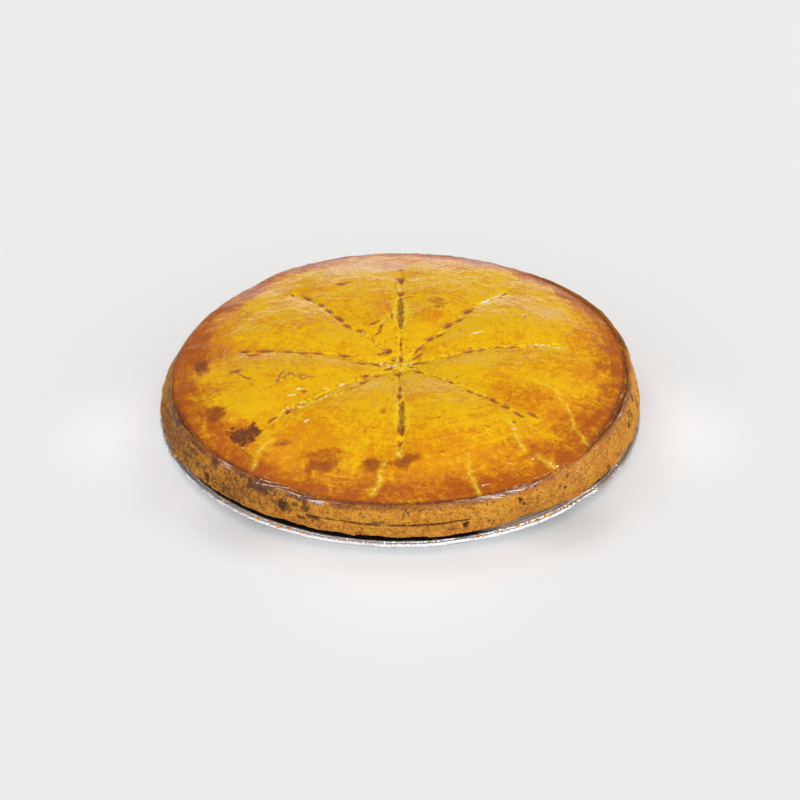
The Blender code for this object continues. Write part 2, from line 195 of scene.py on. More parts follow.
# Brown patches and freckles, with their strength at the end of each row:
PATCHES = (
    (-107.5, -4, 3.6, 6.8, 10, 1), (-96, -52.5, 4.6, 6.8, 30, 0.95), (-108, -68, 5, 4, 0, 0.55),
    (-38, -93, 11, 3.6, -4, 0.65), (-38, -99.5, 7, 4, -10, 0.9), (-13, -100.5, 4.6, 3.6, 20, 0.85),
    (1, -99.5, 8.5, 3.8, 24, 0.9), (-59, -82.5, 5, 2.2, 0, 0.5), (22.5, 50.5, 3.6, 5.4, 16, 0.5),
    (-7.5, 53, 2.4, 4, 0, 0.4), (66.5, -44, 13, 8, 10, 0.4), (54, -82.5, 7, 3.4, 20, 0.42),
    (40.5, -74.5, 8, 3, 0, 0.34), (105, -44, 7, 9, 0, 0.5), (95, -82, 9, 4, 50, 0.6),
    (48, -108, 16, 3.6, 18, 0.6), (4, -117, 22, 3, 0, 0.55), (-9, -61, 2, 2.6, 0, 0.65),
    (-87.5, 47, 6, 3, 40, 0.45), (-59.5, 104.5, 7, 3, -30, 0.4), (63.5, 107.5, 9, 4, 40, 0.4),
    (103.5, 30, 5, 8, 0, 0.35),
)
# Painted sheen, a pale reflection laid into the glaze's colour, with its strength:
PAINTED_HAZES = ((-16, 101, 25, 8, 4, 0.44), (81.5, 47, 10, 6, -30, 0.24))
# Wide amber stretches where the glaze ran thicker, with their strength:
AMBER = (
    (-35, -24, 9, 6, 25, 0.4), (35, 56, 11, 9, 0, 0.6), (81, -10, 24, 13, -10, 0.9),
    (64.5, -44.5, 17, 11, 10, 0.9), (85, -59, 18, 8, 40, 0.7), (18, -90, 54, 17, 4, 0.8),
    (-48.5, -86, 27, 15, -14, 0.95), (26, -50, 9, 15, 20, 0.3), (-28, -70.5, 14, 12, 0, 0.35),
    (16, 46.5, 10, 20, 0, 0.42), (-16, 46.5, 9, 18, 0, 0.32), (-44.5, 64, 18, 8, -40, 0.5),
    (-75, 1, 18, 7, 0, 0.55), (-60.5, 38.5, 22, 7, -10, 0.35), (-100, 21.5, 12, 30, 0, 0.6),
    (0, 116, 60, 12, 0, 0.7), (34, 105, 13, 7, 0, 0.7), (103.5, 47, 8, 24, -20, 0.4),
    (-75.5, 95.5, 26, 10, 40, 0.6), (40, 9.5, 16, 5, 20, 0.25),
)

# Pits in the wall: direction in degrees, height, half size and depth in millimetres
WALL_PITS = (
    (284.4, 15.2, 1.4, 3), (220.6, 14.2, 2.1, 3), (226.5, 13.5, 0.8, 1.2), (243, 20, 2, 0.9),
    (297.3, 23, 0.8, 1.2), (298.2, 20, 0.9, 1), (309.8, 19, 0.7, 0.8), (343.5, 21, 1.5, 1.4),
    (343.8, 26.5, 0.9, 1), (20, 17, 1.6, 1.8), (82, 19, 1.6, 1.8), (140, 16, 1.8, 2),
)
# Burnt glaze along the wall's upper edge: direction and half spread in degrees, reach down in
# millimetres and how much of it lies on top of the lip
GLAZE_RUNS = (
    (172, 8, 1.4, 0.25), (188, 10, 2, 0.3), (203, 7, 2.6, 0.4), (215, 6, 2.2, 0.2),
    (223, 2, 4, 0.5), (231, 4, 2, 0.6), (237.5, 4.5, 4.8, 1), (248, 5, 2.6, 0.9),
    (262, 8, 0.7, 0.6), (295, 11, 1, 0.6), (334, 6, 0.9, 0.3), (345, 8, 1.2, 0.4), (8, 9, 1.6, 0.4),
    (62, 16, 2.6, 0.3), (108, 14, 2.4, 0.3), (147, 13, 2.6, 0.3),
)
# Where a white highlight is painted on the lip: direction, half spread in degrees and strength
PAINTED_LIP_GLEAMS = (
    (297, 9, 1.1), (281, 6, 0.5), (249, 6, 0.9), (239.5, 4, 1.2), (226, 3, 0.6), (340, 8, 0.7),
    (352, 5, 0.4),
)
# Dark stains on the wall: direction in degrees, height, half width and half height in
# millimetres, strength
WALL_STAINS = (
    (258, 28, 9, 1.5, 0.62), (270, 28, 12, 1.5, 0.55), (283, 27.6, 9, 1, 0.4), (243, 21, 6, 3, 0.8),
    (243.5, 20.5, 4.8, 5, 1), (237.5, 25, 7, 2.4, 0.9), (248.6, 24, 2.4, 3.2, 1.2),
    (246, 24, 3.4, 1.6, 0.9), (240, 22, 3, 3, 0.8), (248, 15.6, 3.6, 1.4, 1),
    (251, 17.8, 3.6, 1.2, 1.3), (265.8, 20.2, 3.4, 1.2, 0.9), (275.5, 20.6, 2.2, 0.8, 0.6),
    (281, 24.2, 1.8, 0.8, 0.7), (282, 14.4, 4, 2, 0.55), (214, 25, 7, 1.8, 0.9),
    (223, 26, 2, 4, 0.9), (229, 13, 4, 2, 0.9), (202, 20, 40, 12, 0.8), (228, 18, 24, 10, 0.72),
    (217, 18, 1.8, 1.4, 1.2), (234, 25, 1.6, 4, 1.2), (228, 16.5, 3, 1.8, 1),
    (200, 21, 3, 2.6, 0.8), (238, 24.5, 7, 2.4, 0.8), (60, 23, 7, 2.4, 0.8), (120, 22, 9, 2.2, 0.8),
    (289.8, 15, 1.2, 0.8, 0.7), (294.8, 16.5, 0.9, 0.7, 0.8), (301.8, 20.5, 0.9, 3, 0.7),
    (305, 18.5, 2.4, 1.6, 0.6), (308, 22, 1.2, 1.6, 0.6), (310.8, 25.5, 1.8, 2, 0.8),
    (312.5, 21, 1, 1, 0.8), (323, 12.5, 1.2, 1.2, 0.7), (339, 20.5, 1.2, 1.8, 1.2),
    (341, 24, 1.4, 2.6, 1.5), (348, 25.5, 1.6, 2.4, 1.5), (350, 20, 1.8, 2.8, 1.2),
    (331, 14.5, 3, 1.2, 0.8), (5, 17, 1.6, 2, 0.8),
)

# ---------------------------------------------------------------------------
# Settings
# ---------------------------------------------------------------------------


def metric(name, description, default_mm):
    """A length that the sidebar shows with its unit."""
    return FloatProperty(
        name=name, description=description, default=default_mm * MM, min=0.0, unit="LENGTH"
    )


def factor(name, description, default):
    """A plain factor."""
    return FloatProperty(name=name, description=description, default=default, min=0.0)


def tint(name, description, default):
    """A colour in linear light."""
    return FloatVectorProperty(
        name=name,
        description=description,
        default=default,
        size=3,
        min=0.0,
        max=1.0,
        subtype="COLOR",
    )


class LidSettings(bpy.types.PropertyGroup):
    """Sizes and colours of the glazed lid."""

    radius: metric("Lid radius", "From the middle to the groove inside the rim", 124.4)
    edge_height: metric("Edge height", "Height of the groove above the table", 28.0)
    rise: metric("Rise", "How far the puffed lid stands above its edge", 13.5)
    power: factor("Power", "How flat the middle is and how steep the margin", 2.5)
    dip: metric("Middle dip", "How far the lid sinks where the slits meet", 5.0)
    dip_radius: metric("Middle dip radius", "Reach of the sunken middle", 32.0)
    wedge_puff: metric("Wedge puff", "How far the wedges swell between the slits", 1.1)
    slit_depth: metric("Slit depth", "Depth of the thin cut between the dashes", 0.4)
    cut_width: metric("Cut half width", "Half the width of the thin cut", 0.45)
    dash_scale: factor("Dash size", "Size of the knife's dashes", 1.0)
    slit_sag: metric("Slit sag", "How far the lid sinks along a slit", 0.7)
    dash_depth: metric("Dash depth", "Depth of the knife's dashes", 0.55)
    gape_depth: metric("Gape depth", "Depth where a slit gapes open", 0.6)
    crack_depth: metric("Crack depth", "Depth of a stretch crack", 0.06)
    gold: tint("Gold", "Bright glazed pastry in the middle", (0.87, 0.49, 0.004))
    amber: tint("Amber", "Deeper glazed pastry", (0.74, 0.27, 0.004))
    toast: tint("Toast", "Browned pastry along the rim", (0.42, 0.09, 0.006))
    char: tint("Char", "The darkest patches", (0.145, 0.044, 0.018))
    crumb: tint("Crumb", "Pale pastry inside cracks", (0.97, 0.66, 0.13))
    butter: tint("Butter", "Bright yellow pastry beside cuts", (0.93, 0.6, 0.006))
    inside: tint("Inside", "Red-brown inside the dashes", (0.52, 0.145, 0.01))
    umber: tint("Umber", "The deepest spots of the dashes", (0.2, 0.07, 0.045))
    olive: tint("Gape", "Shaded inside of the gaping stretches", (0.45, 0.168, 0.006))
    # Painted highlight: the white of the glints, painted into the lid's colour
    painted_glint: tint("Glint", "White glints of thick glaze", (0.98, 0.86, 0.6))
    # Painted sheen: the pale reflection on the glaze towards the back
    painted_haze: tint("Haze", "Pale bloom of the glaze towards the back", (0.82, 0.56, 0.5))


class WallSettings(bpy.types.PropertyGroup):
    """Sizes and colours of the crumbly wall."""

    bulge_radius: metric("Bulge radius", "Widest radius of the wall", 130.8)
    bulge_height: metric("Bulge height", "Height of the widest place", 13.0)
    low_edge: metric("Low edge", "Height of the wall's lower edge over the tray", 9.4)
    shoulder_radius: metric("Shoulder radius", "Radius under the lip", 127.6)
    shoulder_height: metric("Shoulder height", "Height under the lip", 27.2)
    lip_radius: metric("Lip radius", "Radius of the pressed lip", 126.2)
    lip_height: metric("Lip height", "Height of the pressed lip", 29.1)
    waist_radius: metric("Waist radius", "Radius of the part inside the tray", 124.0)
    foot_radius: metric("Foot radius", "Radius of the flat foot", 116.0)
    seam_height: metric("Seam height", "Height of the seam where the lid was folded down", 18.4)
    ochre: tint("Ochre", "Dry baked pastry", (0.74, 0.32, 0.022))
    rust: tint("Rust", "Warmer baked pastry", (0.62, 0.2, 0.014))
    pale: tint("Pale", "Sandy crumbs that caught less heat", (0.78, 0.42, 0.07))
    rim: tint("Rim", "Browned lip", (0.4, 0.115, 0.016))
    # Painted highlight: the white of the streaks and glints painted on the lip
    gloss: tint("Gloss", "Bright streaks of glaze on the lip", (0.9, 0.72, 0.7))
    shade: tint("Shade", "Hollows between the crumbs", (0.26, 0.125, 0.024))
    # Dark also stands for painted shade inside the pits, the seam and the groove
    dark: tint("Dark", "Pits and burnt crumbs", (0.085, 0.03, 0.014))
    glaze: tint("Glaze", "Burnt glaze along the upper edge", (0.11, 0.03, 0.014))
    # Painted sheen: the lilac shine on the burnt glaze
    lilac_sheen: tint("Lilac", "Pale bloom on the burnt glaze", (0.62, 0.42, 0.44))


class TraySettings(bpy.types.PropertyGroup):
    """Sizes and colours of the foil tray."""

    floor_radius: metric("Floor radius", "Radius of the flat floor", 119.5)
    foil: metric("Foil", "Thickness of the foil as drawn", 0.35)
    bead: metric("Bead", "Radius of the rolled rim", 1.25)
    bead_height: metric("Bead height", "Height of the rolled rim's middle", 5.6)
    flange: metric("Flange", "Width of the flat part of the rim", 2.6)
    bright: tint("Bright", "Clean aluminium", (0.86, 0.87, 0.9))
    # Also laid on as painted shade at the left and below the middle of the rolled rim
    dull_and_shaded: tint("Dull", "Greasy, creased aluminium", (0.46, 0.47, 0.5))
    # Painted reflection: the brown crust mirrored in the shaded foil shelf at the right
    shelf_reflection: tint(
        "Stained", "Foil under the crust at the right, brown with juice", (0.85, 0.7, 0.6)
    )
    # Painted reflection: the brown crust mirrored in the foil round the right
    reflected_crust: tint("Tarnished", "Brown-grey foil round the right", (0.34, 0.27, 0.22))
    # Painted shadow: near black in the gap under the crust
    gap_shadow: tint("Gloom", "Sooty foil in the gap under the crust", (0.02, 0.016, 0.013))


class CrumbSettings(bpy.types.PropertyGroup):
    """Number, size and colours of the loose crumbs."""

    count: IntProperty(
        name="Crumbs", description="Number of crumbs on the tray's rim", default=90, min=1
    )
    largest: metric("Largest", "Half size of the largest crumb", 0.8)
    smallest: metric("Smallest", "Half size of the smallest crumb", 0.25)
    pale: tint("Pale", "Light crumbs", (0.78, 0.45, 0.06))
    brown: tint("Brown", "Baked crumbs", (0.5, 0.13, 0.015))


class StageSettings(bpy.types.PropertyGroup):
    """Floor, light and camera."""

    floor: tint("Floor", "Pale plain floor", (0.842, 0.842, 0.842))
    light_floor: tint("Light floor", "The floor where it is lighter", (0.97, 0.97, 0.97))
    dark_floor: tint("Dark floor", "The floor where the pie shades it", (0.4, 0.4, 0.4))
    surround: factor("Surround", "Brightness low down all round", 3.0)
    dim: factor("Dim", "Brightness above the back", 0.07)
    front_glow: factor("Front glow", "Brightness in front and overhead", 0.85)
    distance: FloatProperty(
        name="Camera distance",
        description="From the camera to the pie",
        default=1.0,
        min=0.1,
        unit="LENGTH",
    )
    elevation: FloatProperty(
        name="Camera elevation",
        description="How far the camera looks down on the pie",
        default=math.radians(32.0),
        subtype="ANGLE",
    )
    aim_height: metric("Aim height", "Height that the camera looks at", 7.0)
    lens: factor("Lens", "Focal length in millimetres on a 36 mm wide sensor", 82.06)


# ---------------------------------------------------------------------------
# Shader expressions
# ---------------------------------------------------------------------------


def socket_called(sockets, key):
    """The socket with that place, identifier or name."""
    if isinstance(key, int):
        return sockets[key]
    for socket in sockets:
        if socket.identifier == key:
            return socket
    return sockets[key]


def maths(operation, reflected=False):
    """A method that makes a maths node of two values, in the other order where it is reflected."""

    def method(self, other):
        return self.work_out(operation, *((other, self) if reflected else (self, other)))

    return method


class Signal:
    """A shader socket that can stand in a Python expression."""

    __add__, __radd__ = maths("ADD"), maths("ADD", True)
    __sub__, __rsub__ = maths("SUBTRACT"), maths("SUBTRACT", True)
    __mul__, __rmul__ = maths("MULTIPLY"), maths("MULTIPLY", True)
    __truediv__, __pow__ = maths("DIVIDE"), maths("POWER")
    larger = maths("MAXIMUM")

    def __init__(self, recipe, socket):
        self.recipe = recipe
        self.socket = socket

    def work_out(self, operation, *values, clamp=False):
        """One Math node, or one Vector Math node where this is a vector."""
        sockets = dict(enumerate(values))
        if self.socket.type == "VECTOR":
            return self.recipe.vector(operation, sockets)
        settings = {"operation": operation, "use_clamp": clamp}
        return self.recipe.node("ShaderNodeMath", settings, sockets)

    def size(self):
        """The value without its sign."""
        return self.work_out("ABSOLUTE", self)

    def held(self):
        """The value kept between 0 and 1."""
        return self.work_out("ADD", self, 0.0, clamp=True)

    def rise(self, low, high):
        """0 up to low, 1 from high on, smooth between them."""
        settings = {"interpolation_type": "SMOOTHSTEP"}
        sockets = {"Value": self, "From Min": low, "From Max": high, "To Min": 0.0, "To Max": 1.0}
        return self.recipe.node("ShaderNodeMapRange", settings, sockets)


class Recipe:
    """The nodes of one new material, or of a tree that is there already."""

    def __init__(self, name="", tree=None, **constants):
        if tree is None:
            self.material = bpy.data.materials.new(name)
            self.material.use_nodes = True
            tree = self.material.node_tree
        self.tree = tree
        self.shader = tree.nodes.get("Principled BSDF")
        for key, value in constants.items():
            self.feed(key.replace("_", " "), value)
        self.place = self.place_as("Object")

    def node(self, kind, settings, sockets, output=0):
        """Add a node: its settings first, then the values or links of its sockets."""
        made = self.tree.nodes.new(kind)
        for key, value in settings.items():
            setattr(made, key, value)
        for key, value in sockets.items():
            self.join(value, socket_called(made.inputs, key))
        return Signal(self, socket_called(made.outputs, output))

    def vector(self, operation, sockets, output=0):
        """One Vector Math node."""
        return self.node("ShaderNodeVectorMath", {"operation": operation}, sockets, output)

    def join(self, value, socket):
        """Link a signal to a socket, or set the socket's own value."""
        if isinstance(value, Signal):
            self.tree.links.new(value.socket, socket)
        else:
            socket.default_value = value

    def feed(self, name, value):
        """Give one of the shader's own sockets its value or link."""
        self.join(value, self.shader.inputs[name])

    def place_as(self, kind):
        """The place of the shaded point, or the direction in a world."""
        return self.node("ShaderNodeTexCoord", {}, {}, kind)

    def masks(self, *names):
        """Values that the mesh carries at each point."""
        kind = "ShaderNodeAttribute"
        return [self.node(kind, {"attribute_name": name}, {}, "Fac") for name in names]

    def mask(self, name):
        """One such value."""
        return self.masks(name)[0]

    def grain(self, size, detail=3.0, roughness=0.55, place=None, distortion=0.0):
        """Noise from 0 to 1 with features about that many metres apart."""
        sockets = {
            "Vector": place or self.place,
            "Scale": 1.0 / size,
            "Detail": detail,
            "Roughness": roughness,
            "Distortion": distortion,
        }
        return self.node("ShaderNodeTexNoise", {}, sockets)

    def swing(self, size, detail=3.0, roughness=0.6, place=None, distortion=0.0):
        """Noise around 0 that mostly stays between -1 and 1."""
        shares = [roughness**octave for octave in range(int(detail) + 1)]
        gain = 4.0 * sum(shares) / math.sqrt(sum(share**2 for share in shares))
        return (self.grain(size, detail, roughness, place, distortion) - 0.5) * gain

    def cells(self, size, feature="F1", output="Distance"):
        """Scattered points about that many metres apart: how far off they are, or their colours."""
        sockets = {"Vector": self.place, "Scale": 1.0 / size}
        return self.node("ShaderNodeTexVoronoi", {"feature": feature}, sockets, output)

    def grains(self, size):
        """A tone around 0, mostly between -1 and 1, that is the same all over each grain."""
        return (self.cells(size, output="Color") - 0.5) * 2.6

    def paint(self, under, over, amount):
        """One colour laid over another."""
        settings = {"data_type": "RGBA", "blend_type": "MIX", "clamp_factor": True}
        sockets = {"Factor_Float": amount, "A_Color": solid(under), "B_Color": solid(over)}
        return self.node("ShaderNodeMix", settings, sockets, "Result_Color")

    def layers(self, colour, *coats):
        """A colour with others laid over it in turn, each a pair of a colour and its amount."""
        for over, amount in coats:
            colour = self.paint(colour, over, amount)
        return colour

    def spots(self, places):
        """Round spots on the ground, each strongest in its middle and 0 from its reach outwards."""
        total = 0
        for middle, reach, strength in places:
            away = self.vector("DISTANCE", {0: self.place, 1: (*middle, 0.0)}, "Value")
            total = total + (1.0 - away.rise(0.0, reach)) * strength
        return total

    def emboss(self, *bumps, strength=1.0):
        """Bumps one over another, each a pair of a height and how many metres high a 1 is.

        The strength is that of the lowest one.
        """
        under = {}
        for height, distance in bumps:
            sockets = {"Height": height, "Distance": distance, "Strength": strength, **under}
            under = {"Normal": self.node("ShaderNodeBump", {}, sockets, "Normal")}
            strength = 1.0
        self.feed("Normal", under["Normal"])


def solid(colour):
    """A colour with its alpha, or a signal as it is."""
    return colour if isinstance(colour, Signal) else (*colour, 1.0)


# ---------------------------------------------------------------------------
# Shape helpers
# ---------------------------------------------------------------------------


def smooth_step(low, high, value):
    """0 below low, 1 above high, smooth between."""
    t = np.clip((value - low) / (high - low), 0.0, 1.0)
    return t * t * (3.0 - 2.0 * t)


def smooth_fall(low, high, value):
    """1 below low, 0 above high, smooth between."""
    return 1.0 - smooth_step(low, high, value)


def bell(distance, half_width):
    """1 at the middle of a dent or a ridge, falling smoothly to 0."""
    return np.exp(-((distance / half_width) ** 2))


def between(value, start, end, soft):
    """1 from start to end with soft ends."""
    return smooth_step(start, start + soft, value) * smooth_fall(end - soft, end, value)


def angle_between(a, b):
    """Signed difference of two directions in degrees, from -180 to 180."""
    return (a - b + 180.0) % 360.0 - 180.0


def lobe(degrees, middle, spread_out):
    """1 in one direction, falling smoothly to 0 on both sides of it."""
    return bell(angle_between(degrees, middle), spread_out)


def round_the_edge(values, degrees):
    """A value given at even steps round the pie, read smoothly at any direction."""
    position = (degrees % 360.0) / 360.0 * len(values)
    index = np.floor(position).astype(int)
    blend = 0.5 - 0.5 * np.cos(math.pi * (position - index))
    return values[index % len(values)] * (1.0 - blend) + values[(index + 1) % len(values)] * blend


def swell(points, size, lift=3.1):
    """Smooth unevenness from -1 to 1 whose swells are about that many metres wide."""
    scaled = points / size + np.array((0.0, 0.0, lift))
    return np.array([noise.noise(Vector(p)) for p in scaled.tolist()])


def rough(points, size, octaves=4, lift=0.0):
    """Rough unevenness with finer and finer swells."""
    scaled = points / size + np.array((0.0, 0.0, lift))
    return np.array([noise.fractal(Vector(p), 0.8, 2.0, octaves) for p in scaled.tolist()])


def flat(x, y):
    """Places on the ground as points."""
    return np.stack((x, y, 0.0 * x), -1)


def line_field(x, y, lines, reach):
    """Signed distance to the nearest of some lines, and how much of a line is there, 0 to 1.

    A line is its points, its half width and how far its ends fade out, all in metres. The distance
    keeps its sign across a line, so that it stays exact between the points of a mesh.
    """
    nearest = np.full(x.shape, reach)
    signed = np.full(x.shape, reach)
    strength = np.zeros(x.shape)
    for points, half_width, fade in lines:
        points = np.asarray(points)
        spans = np.diff(points, axis=0)
        lengths = np.hypot(spans[:, 0], spans[:, 1])
        total, before = lengths.sum(), 0.0
        close = np.nonzero(
            (x > points[:, 0].min() - reach)
            & (x < points[:, 0].max() + reach)
            & (y > points[:, 1].min() - reach)
            & (y < points[:, 1].max() + reach)
        )[0]
        for (ax, ay), (span_x, span_y), length in zip(points, spans, lengths):
            dx, dy = x[close] - ax, y[close] - ay
            t = np.clip((dx * span_x + dy * span_y) / length**2, 0.0, 1.0)
            away = np.hypot(dx - t * span_x, dy - t * span_y)
            side = np.where(dx * span_y - dy * span_x > 0.0, 1.0, -1.0)
            run = before + t * length
            here = smooth_step(-0.3, 1.0, np.minimum(run, total - run) / fade)
            closer = away < nearest[close]
            chosen = close[closer]
            nearest[chosen] = away[closer]
            signed[chosen] = (away * side)[closer] / half_width
            strength[chosen] = here[closer] * smooth_fall(0.5 * reach, reach, away[closer])
            before += length
    return signed, strength


def mesh_piece(name, points, faces, material, masks=None):
    """A smooth-shaded mesh object with its material and the masks that it carries."""
    mesh = bpy.data.meshes.new(name)
    mesh.from_pydata(points.tolist(), [], faces)
    mesh.validate()
    for key, values in (masks or {}).items():
        layer = mesh.attributes.new(key, "FLOAT", "POINT")
        layer.data.foreach_set("value", np.asarray(values, np.float32))
    mesh.materials.append(material)
    mesh.shade_smooth()
    obj = bpy.data.objects.new(name, mesh)
    bpy.context.scene.collection.objects.link(obj)
    return obj


def numbered(counts):
    """The point numbers of rings that follow one another, from how many points each ring has."""
    ends = np.cumsum(counts).tolist()
    return [list(range(end - count, end)) for count, end in zip(counts, ends)]


def turned_profile(profile, columns):
    """Radius, height and direction of each point of a turned profile, and the rings' numbers."""
    counts = [columns if radius > 0.0 else 1 for radius, _ in profile]
    radius, height = (np.repeat(values, counts) for values in zip(*profile))
    angle = np.arange(columns) / columns * math.tau
    return radius, height, np.concatenate([angle[:count] for count in counts]), numbered(counts)


def ring_faces(rings):
    """Faces between neighbouring rings of point numbers.

    Each ring runs counterclockwise seen from above. The rings go from the middle of the top
    outwards, down and back in below. A ring has as many points as the one before, or twice as
    many, or it is a single point.
    """
    faces = []
    for inner, outer in zip(rings, rings[1:]):
        few, many = len(inner), len(outer)
        if few == 1:
            faces += [(inner[0], outer[i], outer[(i + 1) % many]) for i in range(many)]
        elif many == 1:
            faces += [(outer[0], inner[(i + 1) % few], inner[i]) for i in range(few)]
        elif few == many:
            for i in range(few):
                after = (i + 1) % few
                faces.append((inner[i], outer[i], outer[after], inner[after]))
        elif many == 2 * few:
            for i in range(few):
                after = (i + 1) % few
                left, middle, right = outer[2 * i], outer[2 * i + 1], outer[(2 * i + 2) % many]
                faces.append((inner[i], left, middle))
                faces.append((inner[i], middle, inner[after]))
                faces.append((inner[after], middle, right))
        else:
            raise ValueError("rings must keep or double their points")
    return faces


# ---------------------------------------------------------------------------
# Lid
# ---------------------------------------------------------------------------

LID_COLUMNS = 704
LID_RING_GAP = 0.86 * MM
LID_DEPTH = 3.6 * MM
# How far from a slit the columns run parallel to it, and which share of them does
SLIT_BAND = 4.5 * MM
SLIT_BAND_SHARE = 0.2
# Nearer to the slits' centre than this the columns get fewer, down to one in so many
FULL_COLUMNS = 50.0 * MM
FEWEST_COLUMNS = 16
# The level of a mark far outside it
OUTSIDE = -1.5
# The faint round crease: its radius, and its direction and half spread in degrees
CREASE_RADIUS = 97.0 * MM
CREASE_RUN = (190.0, 26.0)


def lid_directions(column, distance):
    """Direction in degrees of each column of the lid, closer together beside the slits.

    The columns beside a slit run parallel to it, so that its edges stay sharp.
    """
    per_sector = LID_COLUMNS // len(SLITS)
    sector = column // per_sector
    place = (column % per_sector) / per_sector
    starts = np.array([slit.direction for slit in SLITS])
    widths = (np.roll(starts, -1) - starts) % 360.0
    start, width = starts[sector % len(SLITS)], widths[sector % len(SLITS)]
    mirrored = place > 0.5
    u = np.where(mirrored, 1.0 - place, place) * 2.0
    beside = np.degrees(SLIT_BAND / np.maximum(distance, 0.1 * MM)) / (width / 2.0)
    band = np.minimum(SLIT_BAND_SHARE, beside)
    near = u / SLIT_BAND_SHARE * band
    far = band + (u - SLIT_BAND_SHARE) / (1.0 - SLIT_BAND_SHARE) * (1.0 - band)
    turn = np.where(u < SLIT_BAND_SHARE, near, far) * width / 2.0
    return np.where(mirrored, start + width - turn, start + turn)


def lid_edge(degrees, radius):
    """Where lines from the slits' centre meet the lid's edge."""
    direction = np.stack((np.cos(np.radians(degrees)), np.sin(np.radians(degrees))), -1)
    closed = 1.0 - round_the_edge(GROOVE_OPEN, degrees)
    reach = radius + round_the_edge(EDGE_PUSH, degrees) + 1.5 * MM * closed
    along = direction @ SLIT_CENTRE
    far = np.sqrt(along**2 - SLIT_CENTRE @ SLIT_CENTRE + reach**2) - along
    return SLIT_CENTRE + direction * far[:, None]


def turned(x, y, middle_x, middle_y, degrees):
    """Coordinates along and across a mark that is turned by an angle."""
    angle = math.radians(degrees)
    dx, dy = x - middle_x, y - middle_y
    return dx * math.cos(angle) + dy * math.sin(angle), dy * math.cos(angle) - dx * math.sin(angle)


def oval(x, y, middle_x, middle_y, long, wide, turn):
    """How far each place lies from the middle of a turned oval, 1 on its outline."""
    along, across = turned(x, y, middle_x * MM, middle_y * MM, turn)
    return np.hypot(along / (long * MM), across / (wide * MM))


def hole_level(away):
    """1 in the middle of an oval hole, 0 at its lip and below 0 outside."""
    return np.clip(1.0 - away, OUTSIDE, 1.0)


def slit_course(slit, along):
    """How far aside the cut runs, as far as the dashes show it."""
    out, beside = (MM * np.array(values) for values in list(zip(*slit.dashes))[:2])
    return np.clip(np.interp(along, out, beside), -0.8 * MM, 0.8 * MM)


def jagged(x, y, size, far, lift=0.0):
    """The same places, each pushed a little aside, so that outlines drawn there get ragged."""
    ground = flat(x, y)
    return x + far * rough(ground, size, 3, lift), y + far * rough(ground, size, 3, lift + 50.0)


def outline_depth(x, y, outline):
    """How deep each place lies inside a closed outline, in metres, and below 0 outside."""
    corners = np.array(outline) * MM
    away = np.full(x.shape, np.inf)
    inside = np.zeros(x.shape, bool)
    for (ax, ay), (bx, by) in zip(corners, np.roll(corners, -1, axis=0)):
        span_x, span_y = bx - ax, by - ay
        if span_x == 0.0 and span_y == 0.0:
            continue
        along = np.clip(((x - ax) * span_x + (y - ay) * span_y) / (span_x**2 + span_y**2), 0.0, 1.0)
        away = np.minimum(away, np.hypot(x - ax - along * span_x, y - ay - along * span_y))
        if span_y != 0.0:
            inside ^= ((ay > y) != (by > y)) & (x < ax + (y - ay) * span_x / span_y)
    return np.where(inside, away, -away)


